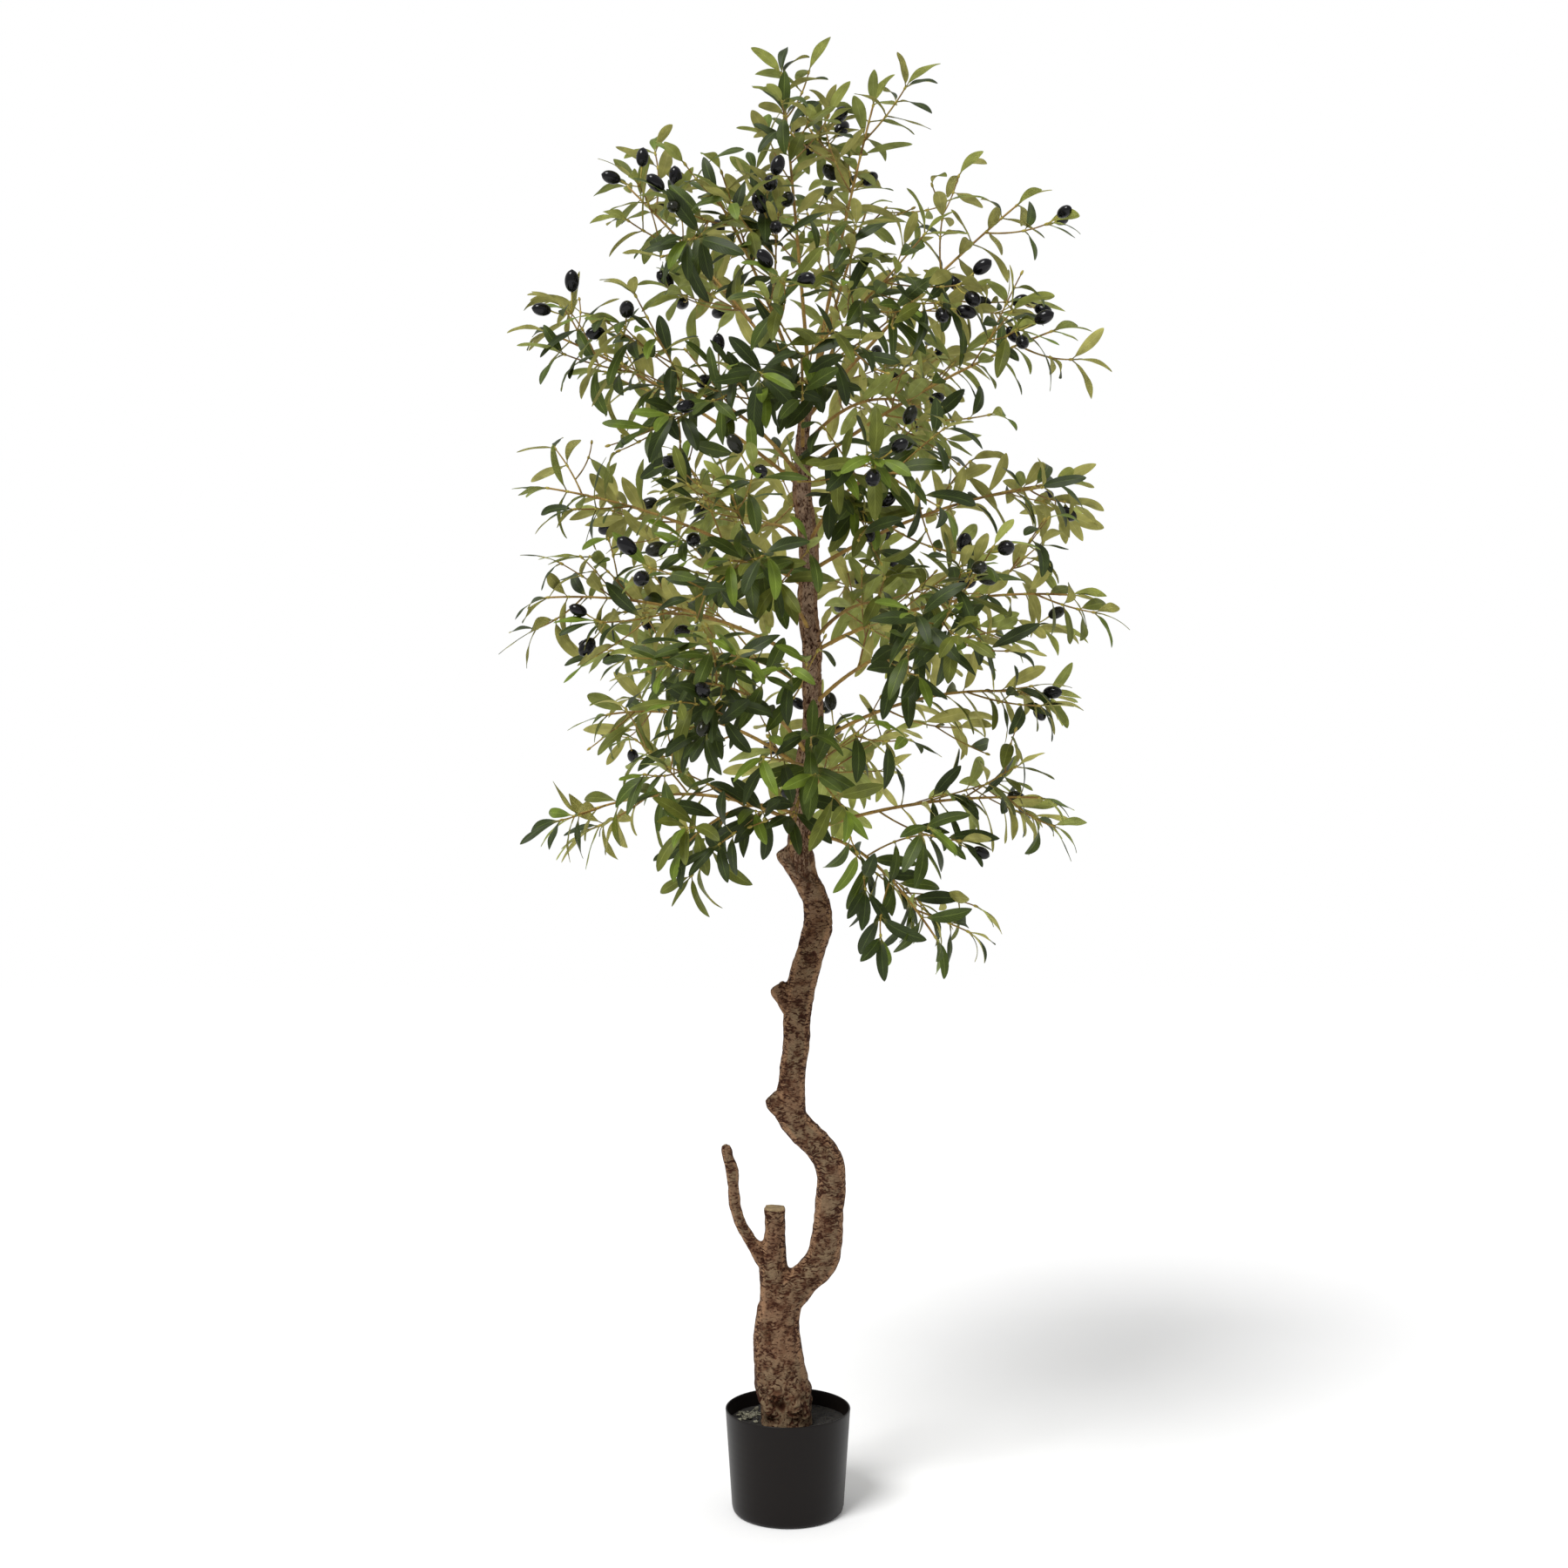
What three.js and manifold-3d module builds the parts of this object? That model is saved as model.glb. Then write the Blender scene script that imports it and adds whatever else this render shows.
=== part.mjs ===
// An artificial olive tree that stands in a black nursery pot, about 1.8 m tall. Millimetres, +Z up, the origin
// at the middle of the pot's flat underside, and the side that is seen first facing -Y.
// A moulded trunk rises from the pot's filling. It carries one cut limb, one thin side limb and the wire boughs.
// Every bough ends where it enters its own mass of twigs, leaves and olives.
import * as THREE from "three";
import { mergeVertices } from "three/addons/utils/BufferGeometryUtils.js";
import Module from "manifold-3d";

const wasm = await Module();
wasm.setup();

// Driving dimensions of the pot and its filling
const pot = {
  height: 125,
  rimRadius: 76.5,
  footRadius: 68,
  footCorner: 6,
  wall: 1.8,
  floor: 4,
  bead: 0.8,
  beadHeight: 4,
  sides: 32,
};
const fillTop = 107; // the filling lies this far above the ground
const clearance = 0.3; // between two pieces that touch
const weldWidth = 1e-3; // corners nearer than this are one

// The trunk's centre line from the filling to its tip: height, sideways place and radius
const trunkStations = [
  [107, -1, 31],
  [145, -5, 32],
  [184, -11, 30],
  [222, -14, 27],
  [253, -8, 25],
  [278, 15, 21],
  [301, 40, 20],
  [325, 47, 19.5],
  [350, 49, 18],
  [378, 52, 17.5],
  [406, 53, 17.5],
  [429, 49, 17.5],
  [449, 35, 17.5],
  [466, 18, 17.5],
  [482, 6, 17.5],
  [502, 4, 17],
  [530, 5, 15.5],
  [568, 10, 16],
  [607, 11, 17],
  [645, 17, 17.5],
  [684, 28, 17],
  [722, 37, 17.5],
  [748, 33, 15.5],
  [773, 22, 15],
  [799, 16, 15.5],
  [835, 16, 14.5],
  [873, 18, 14.5],
  [921, 24, 13.5],
  [963, 31, 12.5],
  [1006, 29, 12],
  [1059, 29, 12],
  [1102, 24, 12],
  [1166, 26, 12],
  [1209, 23, 11.5],
  [1240, 18, 12],
  [1284, 18, 10],
  [1326, 19, 8],
  [1369, 27, 6],
  [1391, 30, 4.5],
];
const trunkSides = 10;
const sway = { depth: 11, perTurn: 520, start: 107 }; // how far the trunk wanders to the back and front

// The knobs where a leader was pruned: height and side of the root, height and side of the end, end radius
const knobs = [
  { from: [462, 20], to: [505, -19], radius: 13.5 },
  { from: [602, 10], to: [636, -13], radius: 11 },
  { from: [768, 20], to: [806, -8], radius: 11 },
];
const knobSides = 8;

// The limb that was cut off square, and the thin one beside it: height, side, radius
const cutLimb = [
  [246, -13, 22],
  [272, -16, 19],
  [298, -18, 17],
  [322, -17, 14],
  [345, -16, 12.5],
  [370, -16, 12.5],
];
const sideLimb = [
  [294, -18, 15],
  [308, -32, 11],
  [326, -44, 8.5],
  [346, -56, 7.5],
  [368, -64, 6.5],
  [392, -66, 6.5],
  [414, -68, 7.5],
  [432, -73, 7],
  [446, -76, 5.5],
  [449, -77, 3],
];

// The boughs. root is the height where one leaves the trunk, azimuth the way it goes in plan, 0 to the right and
// 90 to the back. reach and tip say where the stem of its mass ends, and rise lifts its first part above the root.
// seed starts the draws that grow the mass. The highest masses have no bare bough: their stems leave the trunk.
const boughs = [
  { root: 828, azimuth: -6, reach: 285, tip: 872, rise: 50, seed: 23 },
  { root: 822, azimuth: -46, reach: 212, tip: 712, rise: 20, seed: 19 },
  { root: 838, azimuth: 186, reach: 282, tip: 850, rise: 70, seed: 13 },
  { root: 846, azimuth: 226, reach: 200, tip: 820, rise: 45, seed: 12 },
  { root: 858, azimuth: 75, reach: 265, tip: 905, rise: 70, seed: 30 },
  { root: 868, azimuth: 272, reach: 225, tip: 900, rise: 60, seed: 41 },
  { root: 905, azimuth: 172, reach: 248, tip: 975, rise: 90, seed: 43 },
  { root: 925, azimuth: 243, reach: 262, tip: 1000, rise: 80, seed: 55 },
  { root: 935, azimuth: 6, reach: 292, tip: 1000, rise: 85, seed: 17 },
  { root: 985, azimuth: 311, reach: 262, tip: 1050, rise: 75, seed: 26 },
  { root: 1000, azimuth: 135, reach: 275, tip: 1040, rise: 85, seed: 12 },
  { root: 1035, azimuth: 184, reach: 315, tip: 1115, rise: 90, seed: 59 },
  { root: 1050, azimuth: -4, reach: 322, tip: 1118, rise: 80, seed: 45 },
  { root: 1062, azimuth: 60, reach: 280, tip: 1120, rise: 85, seed: 14 },
  { root: 1075, azimuth: 250, reach: 250, tip: 1135, rise: 75, seed: 3 },
  { root: 1130, azimuth: 177, reach: 320, tip: 1254, rise: 95, seed: 68 },
  { root: 1150, azimuth: 7, reach: 320, tip: 1264, rise: 90, seed: 36 },
  { root: 1170, azimuth: 108, reach: 275, tip: 1215, rise: 85, seed: 67 },
  { root: 1185, azimuth: 296, reach: 235, tip: 1235, rise: 75, seed: 5 },
  { root: 1255, azimuth: 184, reach: 312, tip: 1436, rise: 115, seed: 14 },
  { root: 1265, azimuth: 222, reach: 225, tip: 1345, rise: 90, seed: 57 },
  { root: 1275, azimuth: -3, reach: 300, tip: 1440, rise: 105, seed: 22 },
  { root: 1300, azimuth: 268, reach: 200, tip: 1370, rise: 80, seed: 28 },
  { root: 1305, azimuth: 50, reach: 240, tip: 1385, rise: 100, seed: 17 },
  { root: 1340, azimuth: 14, reach: 275, tip: 1618, rise: 150, seed: 15, bare: false },
  { root: 1345, azimuth: 303, reach: 185, tip: 1470, rise: 120, seed: 67, bare: false },
  { root: 1352, azimuth: 236, reach: 185, tip: 1560, rise: 130, seed: 54, bare: false },
  { root: 1358, azimuth: 62, reach: 175, tip: 1640, rise: 150, seed: 62, bare: false },
  { root: 1366, azimuth: 157, reach: 245, tip: 1650, rise: 150, seed: 51, bare: false },
  { root: 1382, azimuth: 215, reach: 36, tip: 1750, rise: 190, seed: 18, bare: false },
  { root: 1386, azimuth: 30, reach: 98, tip: 1738, rise: 190, seed: 22, bare: false },
];
const crown = { middle: 22, bareShare: 0.3, bend: 0.45, site: 0.66, rootShift: 3.2 };
const bough = { rootRadius: 3.2, tipRadius: 2.4, sides: 4, steps: 3 };

// Twigs, leaves and olives
const stem = { tipRadius: 1.3, sides: 3, steps: 4, firstNode: 0.06, lastTwig: 0.82, directStart: 0.2 };
const twig = { count: 4, length: 140, shortest: 40, rootRadius: 1.5, tipRadius: 1.1, spread: 50, steps: 2 };
const leaf = { spacing: 25, length: 70, width: 19, open: 56, arch: 48, thickness: 0.014 };
const olive = { length: 26, width: 17.5, stalk: 24, stalkRadius: 0.8, share: 0.25 };
// The solid foliage has fewer and larger leaves than the real one, no two of a mass nearer together than apart.
const coarse = { leafLength: 1.5, leafWidth: 2.1, tipLeafLength: 1.15, apart: 37, oliveStep: 2 };
const goldenTurn = 137.508; // from one twig to the next round its stem, in degrees
const cellMargin = 0.4; // from a leaf or twig to the edge of its mass's own space
const limbMargin = 1.6; // from a twig to a limb

const v = (x, y, z) => new THREE.Vector3(x, y, z);
const radians = THREE.MathUtils.degToRad;
const up = v(0, 0, 1);
const shares = (from, to, steps) => Array.from({ length: steps + 1 }, (_, i) => from + ((to - from) * i) / steps);

// One number after another from 0 to 1, the same in every run.
function drawsFrom(seed) {
  let state = seed * 7919 + 12345;
  const draw = () => {
    state = (state * 1664525 + 1013904223) % 4294967296;
    return state / 4294967296;
  };
  for (let i = 0; i < 4; i++) draw();
  return draw;
}

// A unit vector square to a direction, as near to a wished one as it can be.
function squareTo(direction, wish) {
  const across = wish.clone().addScaledVector(direction, -wish.dot(direction));
  if (across.length() < 1e-3) across.set(-direction.z, 0, direction.x);
  return across.normalize();
}

// A closed tube through rings that stand square to a line. The line is points, the ways through them, and radii.
function tubeGeometry({ points, ways, radii }, sides) {
  const position = [];
  const index = [];
  let side = squareTo(ways[0], v(0.3, -1, 0.05));
  points.forEach((p, i) => {
    side = squareTo(ways[i], side);
    const other = ways[i].clone().cross(side);
    for (let k = 0; k < sides; k++) {
      const turn = (2 * Math.PI * k) / sides;
      const corner = p.clone().addScaledVector(side, radii[i] * Math.cos(turn));
      position.push(...corner.addScaledVector(other, radii[i] * Math.sin(turn)).toArray());
    }
  });
  const last = (points.length - 1) * sides;
  for (let i = 0; i < last; i += sides)
    for (let k = 0; k < sides; k++) {
      const next = (k + 1) % sides;
      index.push(i + k, i + next, i + next + sides, i + k, i + next + sides, i + k + sides);
    }
  for (let k = 1; k < sides - 1; k++) index.push(0, k + 1, k, last, last + k, last + k + 1);
  const geometry = new THREE.BufferGeometry();
  geometry.setAttribute("position", new THREE.Float32BufferAttribute(position, 3));
  geometry.setIndex(index);
  return geometry;
}

// A closed geometry as a solid that can be joined and cut.
function solidOf(geometry) {
  const bare = geometry.clone();
  bare.deleteAttribute("normal");
  bare.deleteAttribute("uv");
  const merged = mergeVertices(bare, weldWidth);
  return new wasm.Manifold(
    new wasm.Mesh({
      numProp: 3,
      vertProperties: new Float32Array(merged.attributes.position.array),
      triVerts: new Uint32Array(merged.index.array),
    }),
  );
}
const joined = (solids) => solids.reduce((all, one) => all.add(one));

// The bodies that a solid's triangles make, each as a list of corners, the one of the largest volume first.
function bodiesOf(solid) {
  const { vertProperties, triVerts } = solid.getMesh();
  const parent = Array.from({ length: vertProperties.length / 3 }, (_, i) => i);
  const find = (i) => {
    while (parent[i] !== i) i = parent[i] = parent[parent[i]];
    return i;
  };
  for (let t = 0; t < triVerts.length; t += 3) {
    parent[find(triVerts[t + 1])] = find(triVerts[t]);
    parent[find(triVerts[t + 2])] = find(triVerts[t]);
  }
  const bodies = new Map();
  for (let t = 0; t < triVerts.length; t += 3) {
    const corners = [0, 1, 2].map((k) => new THREE.Vector3().fromArray(vertProperties, 3 * triVerts[t + k]));
    const body = bodies.get(find(triVerts[t])) ?? { corners: [], volume: 0 };
    body.corners.push(...corners);
    body.volume += corners[0].dot(corners[1].clone().cross(corners[2])) / 6;
    bodies.set(find(triVerts[t]), body);
  }
  return [...bodies.values()].sort((one, other) => other.volume - one.volume);
}

// The largest body of a solid as a mesh, without the scraps and sealed hollows that joining can leave. Welding
// can part two bodies at a thin neck, so it is looked at again until one body is left.
function meshOf(solid, name, material) {
  for (let bodies = bodiesOf(solid), left = 3; left > 0; left--) {
    const geometry = new THREE.BufferGeometry().setFromPoints(bodies[0].corners);
    const welded = mergeVertices(geometry, weldWidth);
    bodies = bodiesOf(solidOf(welded));
    if (bodies.length > 1) continue;
    const mesh = new THREE.Mesh(welded, material);
    mesh.name = name;
    return mesh;
  }
  throw new Error(`${name} stays in several bodies`);
}

const materials = {
  pot: new THREE.MeshStandardMaterial({ color: 0x26272a, roughness: 0.55, metalness: 0 }),
  filling: new THREE.MeshStandardMaterial({ color: 0x34332f, roughness: 0.9, metalness: 0 }),
  bark: new THREE.MeshStandardMaterial({ color: 0x7d6a57, roughness: 0.8, metalness: 0 }),
  wire: new THREE.MeshStandardMaterial({ color: 0x8a6038, roughness: 0.7, metalness: 0 }),
  foliage: new THREE.MeshStandardMaterial({ color: 0x3f5a2c, roughness: 0.65, metalness: 0 }),
};

// Pot and filling
function turned(profile, name, material) {
  const corners = profile.map(([x, y]) => new THREE.Vector2(x, y));
  const mesh = new THREE.Mesh(new THREE.LatheGeometry(corners, pot.sides), material);
  mesh.geometry.rotateX(Math.PI / 2);
  mesh.name = name;
  return mesh;
}
function potMesh() {
  const { height, rimRadius, footRadius, footCorner, wall, floor, bead, beadHeight } = pot;
  const rounding = [0, 45, 90].map((turn) => [
    footRadius - footCorner * (1 - Math.sin(radians(turn))),
    footCorner * (1 - Math.cos(radians(turn))),
  ]);
  const outside = [
    [0, 0],
    ...rounding,
    [rimRadius - bead, height - beadHeight],
    [rimRadius, height - beadHeight + bead],
    [rimRadius, height],
  ];
  const inside = [
    [rimRadius - bead - wall, height],
    [footRadius - wall, floor],
    [0, floor],
  ];
  return turned([...outside, ...inside], "pot", materials.pot);
}
function fillingMesh() {
  const { height, rimRadius, footRadius, wall, floor, bead } = pot;
  const slope = (rimRadius - bead - footRadius) / (height - floor);
  const low = floor + clearance;
  const radiusAt = (z) => footRadius - wall + slope * (z - floor) - clearance;
  const profile = [
    [0, low],
    [radiusAt(low), low],
    [radiusAt(fillTop), fillTop],
    [0, fillTop],
  ];
  return turned(profile, "filling", materials.filling);
}

// How far the trunk stands to the back at a height: a slow wave that starts at the filling.
function depthAt(height) {
  const above = height - sway.start;
  return sway.depth * Math.sin((2 * Math.PI * above) / sway.perTurn) * Math.min(1, above / 150);
}

// A limb's line through its stations of height, side and radius.
function lineThrough(stations) {
  const points = stations.map(([height, side]) => v(side, depthAt(height), height));
  const ways = points.map((_, i) => {
    const before = points[Math.max(i - 1, 0)];
    const after = points[Math.min(i + 1, points.length - 1)];
    return after.clone().sub(before).normalize();
  });
  return { points, ways, radii: stations.map((station) => station[2]) };
}
function limbSolid(line, sides, grown = 0) {
  return solidOf(tubeGeometry({ ...line, radii: line.radii.map((r) => r + grown) }, sides));
}

// Trunk: a bent tapering limb with a flat foot, and knobs with domed ends where leaders were pruned.
const trunkLine = lineThrough(trunkStations);
trunkLine.points[0].z = fillTop + clearance;
trunkLine.ways[0].copy(up);
const knobLines = knobs.map(({ from, to, radius }) => {
  const swell = [
    [0, 1.05],
    [0.6, 1],
    [0.88, 0.88],
    [1, 0.5],
  ];
  return lineThrough(
    swell.map(([share, size]) => [
      from[0] + (to[0] - from[0]) * share,
      from[1] + (to[1] - from[1]) * share,
      radius * size,
    ]),
  );
});
function trunkSolid(grown = 0) {
  const trunk = limbSolid(trunkLine, trunkSides, grown);
  return joined([trunk, ...knobLines.map((line) => limbSolid(line, knobSides, grown))]);
}
const trunkGrown = trunkSolid(clearance);
const cutLine = lineThrough(cutLimb);
const sideLine = lineThrough(sideLimb);

// Where the trunk's centre line is at a height.
function trunkPoint(height) {
  const { points } = trunkLine;
  const k = points.findIndex((p) => p.z >= height);
  return points[k - 1].clone().lerp(points[k], (height - points[k - 1].z) / (points[k].z - points[k - 1].z));
}

// A bough and the stem of its mass lie on one curve: out of the trunk, up, and over to the tip.
const curves = boughs.map(({ root, azimuth, reach, tip, rise }) => {
  const [side, depth] = [Math.cos(radians(azimuth)), Math.sin(radians(azimuth))];
  const start = trunkPoint(root).add(v(side, depth, 0).multiplyScalar(crown.rootShift));
  const end = v(crown.middle + reach * side, reach * depth, tip);
  const control = start.clone().lerp(end, crown.bend);
  control.z = root + rise;
  return new THREE.QuadraticBezierCurve3(start, control, end);
});
const stemStart = boughs.map((b) => (b.bare === false ? 0 : crown.bareShare));

// A tapering line along a curve, from one share of it to another.
function lineAlong(curve, from, to, steps, startRadius, endRadius) {
  return {
    points: shares(from, to, steps).map((t) => curve.getPoint(t)),
    ways: shares(from, to, steps).map((t) => curve.getTangent(t)),
    radii: shares(startRadius, endRadius, steps),
  };
}
const boughLines = curves.map((curve, i) =>
  lineAlong(curve, 0, stemStart[i], bough.steps, bough.rootRadius, bough.tipRadius),
);
const stemLines = curves.map((curve, i) => {
  const from = stemStart[i] && stemStart[i] + (1.3 * clearance) / curve.getLength();
  return lineAlong(curve, from, 1, stem.steps, bough.tipRadius, stem.tipRadius);
});

// Each mass keeps to the space that is nearer to its own middle than to any other's.
const sites = curves.map((curve) => curve.getPoint(crown.site));
function insideCell(point, own, margin) {
  return sites.every((site, i) => {
    if (i === own) return true;
    const away = site.clone().sub(sites[own]);
    return point.clone().sub(sites[own]).dot(away) / away.length() < away.length() / 2 - margin;
  });
}

// Everything stiff that a leaf has to miss, as short straight pieces with a radius. A stem is its own mass's.
function piecesOf({ points, radii }, own = -1) {
  return points.slice(1).map((p, i) => ({
    span: new THREE.Line3(points[i], p),
    radius: Math.max(radii[i], radii[i + 1]),
    own,
  }));
}
const obstacles = [
  ...[trunkLine, ...knobLines, ...boughLines].flatMap((line) => piecesOf(line)),
  ...stemLines.flatMap((line, i) => piecesOf(line, i)),
];
const nearest = v(0, 0, 0);
function clearOfLimbs(point, own, room) {
  return obstacles.every((o) => {
    if (o.own === own) return true;
    o.span.closestPointToPoint(point, true, nearest);
    return nearest.distanceTo(point) > o.radius + room;
  });
}

// A twig leaves its stem sideways and turns back towards the way the stem goes.
function growTwig(own, at, roll, length, draw) {
  const start = curves[own].getPoint(at);
  const ahead = curves[own].getTangent(at);
  const side = squareTo(ahead, up).applyAxisAngle(ahead, radians(roll));
  const spread = radians(twig.spread + 14 * (draw() - 0.5));
  const out = ahead.clone().multiplyScalar(Math.cos(spread)).addScaledVector(side, Math.sin(spread));
  const control = start.clone().addScaledVector(out, 0.5 * length);
  const end = control.clone().addScaledVector(out, 0.25 * length);
  end.addScaledVector(ahead, 0.2 * length).addScaledVector(up, 0.12 * length * (draw() - 0.3));
  return new THREE.QuadraticBezierCurve3(start, control, end);
}

// The share of a twig that stays in its cell and clear of the limbs.
function freeShare(curve, own) {
  const checks = 10;
  for (let i = 0; i <= checks; i++) {
    const p = curve.getPoint(i / checks);
    if (!insideCell(p, own, twig.rootRadius + cellMargin)) return Math.max(0, i - 1) / checks;
    if (i > 0 && !clearOfLimbs(p, own, twig.rootRadius + limbMargin)) return (i - 1) / checks;
  }
  return 1;
}

// The leaves at one node: a pair on opposite sides, turned a quarter from one node to the next, and at the tip
// one more that goes straight on. A leaf is its foot, the way it starts, its upper side, length, width and arch.
function growNode(curve, share, turn, node, own, draw) {
  const foot = curve.getPoint(share);
  const ahead = curve.getTangent(share);
  return [0, 1, 2].slice(0, node === 0 ? 3 : 2).map((member) => {
    const straightOn = member === 2;
    const openness = (leaf.open + 24 * (draw() - 0.5)) * (node === 0 ? 0.65 : 1);
    const open = radians(straightOn ? 8 : openness);
    const size = 0.82 + 0.36 * draw();
    const arch = radians(leaf.arch * (0.3 + 1.4 * draw()));
    const lean = 0.5 * (draw() - 0.5);
    const droop = 0.3 * draw();
    const side = squareTo(ahead, up).applyAxisAngle(ahead, radians(turn + 180 * member));
    const way = ahead.clone().multiplyScalar(Math.cos(open)).addScaledVector(side, Math.sin(open));
    way.addScaledVector(up, -droop).normalize();
    const top = squareTo(way, ahead.clone().addScaledVector(up, 0.7)).applyAxisAngle(way, lean);
    const young = node === 0 ? 0.82 : 1;
    const length = leaf.length * size * young;
    const width = leaf.width * (0.85 + 0.3 * (size - 0.82)) * young;
    return { foot, way, top, length, width, arch, node, member, own };
  });
}

// A point on a leaf: a share of the way along its arched middle line, and a way out to the side.
function leafPoint({ foot, way, top, length, arch }, share, aside = 0, raised = 0) {
  const turnedBy = arch * share;
  const point = foot.clone().addScaledVector(way, (length * Math.sin(turnedBy)) / arch);
  point.addScaledVector(top, (-length * (1 - Math.cos(turnedBy))) / arch);
  if (aside) point.addScaledVector(way.clone().cross(top), aside);
  if (!raised) return point;
  return point.addScaledVector(top, raised * Math.cos(turnedBy)).addScaledVector(way, raised * Math.sin(turnedBy));
}

// The corners of a leaf's blade: foot, tip, left, right, and the ridge over its middle.
function leafCorners(l) {
  return [
    l.foot.clone(),
    leafPoint(l, 1),
    leafPoint(l, 0.5, -l.width / 2),
    leafPoint(l, 0.5, l.width / 2),
    leafPoint(l, 0.5, 0, leaf.thickness * l.length),
  ];
}
function leafIsFree(l) {
  if (!leafCorners(l).every((p) => insideCell(p, l.own, cellMargin))) return false;
  for (const share of [0.15, 0.3, 0.45, 0.6, 0.75, 0.9, 1])
    for (const across of [-0.4, 0, 0.4]) {
      const aside = across * l.width * (1 - Math.abs(2 * share - 1));
      if (!clearOfLimbs(leafPoint(l, share, aside), l.own, limbMargin + 2)) return false;
    }
  return true;
}

// A pair of olives on thin stalks, on some of the twigs, near the tip.
function growOlives(curve, share, own, draw) {
  const foot = curve.getPoint(share);
  const ahead = curve.getTangent(share);
  const roll = 360 * draw();
  const wanted = draw() < olive.share;
  const pair = [0, 150].map((around) => {
    const side = squareTo(ahead, up).applyAxisAngle(ahead, radians(roll + around));
    const way = ahead.clone().addScaledVector(side, 0.9).addScaledVector(up, -0.4 * draw()).normalize();
    const size = 0.88 + 0.2 * draw();
    return { foot, way, size, middle: foot.clone().addScaledVector(way, olive.stalk + (olive.length * size) / 2) };
  });
  const room = olive.length * 0.62;
  const free = ({ middle }) => insideCell(middle, own, room) && clearOfLimbs(middle, own, room + limbMargin);
  return wanted ? pair.filter(free) : [];
}

// The twigs, leaves and olives of one mass.
function growMass(own) {
  const draw = drawsFrom(100 * boughs[own].seed + own);
  const curve = curves[own];
  const twigs = [];
  const leaves = [];
  const olives = [];
  const dress = (line, from, to) => {
    const nodes = Math.max(1, Math.round((line.getLength() * (to - from)) / leaf.spacing));
    const bearing = 90 * draw();
    for (let node = 0; node < nodes; node++) {
      const share = to - (node * (to - from)) / nodes;
      leaves.push(...growNode(line, share, 90 * node + bearing, node, own, draw));
    }
    olives.push(...growOlives(line, to - 0.06, own, draw));
  };
  const startRoll = 360 * draw();
  const first = stemStart[own] || stem.directStart;
  for (let k = 0; k < twig.count; k++) {
    const share = stem.firstNode + (stem.lastTwig - stem.firstNode) * (k / (twig.count - 1));
    const length = twig.length * (1 - 0.45 * share) * (0.85 + 0.3 * draw());
    const line = growTwig(own, first + (1 - first) * share, startRoll + k * goldenTurn, length, draw);
    const free = freeShare(line, own);
    if (free * length < twig.shortest) continue;
    twigs.push({ line, free });
    dress(line, 0.22 * free, free);
  }
  dress(curve, first + stem.firstNode, 1);
  return { twigs, leaves, olives };
}

// A leaf as a thin arched blade of six faces, and an olive as a stretched icosahedron on its stalk.
function leafSolid(l) {
  const geometry = new THREE.BufferGeometry();
  const corners = leafCorners(l).flatMap((p) => p.toArray());
  geometry.setAttribute("position", new THREE.Float32BufferAttribute(corners, 3));
  geometry.setIndex([0, 3, 4, 3, 1, 4, 1, 2, 4, 2, 0, 4, 0, 2, 3, 1, 3, 2]);
  return solidOf(geometry);
}
function oliveSolid({ foot, way, size, middle }) {
  const fruit = new THREE.IcosahedronGeometry(1, 0);
  fruit.scale((olive.width * size) / 2, (olive.length * size) / 2, (olive.width * size) / 2);
  fruit.applyQuaternion(new THREE.Quaternion().setFromUnitVectors(v(0, 1, 0), way));
  fruit.translate(...middle.toArray());
  const stalk = { points: [foot, foot.clone().addScaledVector(way, olive.stalk + 3)], ways: [way, way] };
  stalk.radii = [olive.stalkRadius, olive.stalkRadius];
  return solidOf(tubeGeometry(stalk, 3)).add(solidOf(fruit));
}

// One mass as one solid, with fewer and larger leaves than the real tree has.
function massSolid(own) {
  const { twigs, leaves, olives } = growMass(own);
  const parts = [solidOf(tubeGeometry(stemLines[own], stem.sides))];
  for (const { line, free } of twigs)
    parts.push(solidOf(tubeGeometry(lineAlong(line, 0, free, twig.steps, twig.rootRadius, twig.tipRadius), 3)));
  const middles = [];
  for (const l of leaves) {
    const longer = l.node === 0 ? coarse.tipLeafLength : coarse.leafLength;
    const large = { ...l, length: l.length * longer, width: l.width * coarse.leafWidth };
    const middle = leafPoint(large, 0.5);
    const tooClose = middles.some((other) => other.distanceTo(middle) < coarse.apart);
    if (tooClose || !leafIsFree(large)) continue;
    middles.push(middle);
    parts.push(leafSolid(large));
  }
  olives.forEach((o, i) => {
    if (i % coarse.oliveStep === 0) parts.push(oliveSolid(o));
  });
  return joined(parts).subtract(trunkGrown);
}

const tree = new THREE.Group();
tree.name = "olive_tree";
tree.add(potMesh(), fillingMesh());
tree.add(meshOf(trunkSolid(), "trunk", materials.bark));
const cutSolid = limbSolid(cutLine, 10);
tree.add(meshOf(cutSolid.subtract(trunkGrown), "cut_limb", materials.bark));
const sideSolid = limbSolid(sideLine, 8).subtract(trunkGrown).subtract(limbSolid(cutLine, 10, clearance));
tree.add(meshOf(sideSolid, "side_limb", materials.bark));
boughs.forEach((_, i) => {
  const number = String(i + 1).padStart(2, "0");
  if (stemStart[i]) {
    const wire = solidOf(tubeGeometry(boughLines[i], bough.sides));
    tree.add(meshOf(wire.subtract(trunkGrown), `bough_${number}`, materials.wire));
  }
  tree.add(meshOf(massSolid(i), `foliage_${number}`, materials.foliage));
});

export default tree;
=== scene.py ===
# An artificial olive tree in a black nursery pot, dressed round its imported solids.
# Shapes are worked out in millimetres, +Z up, seen first from -Y, and go into the meshes in metres.
from functools import partial

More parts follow.
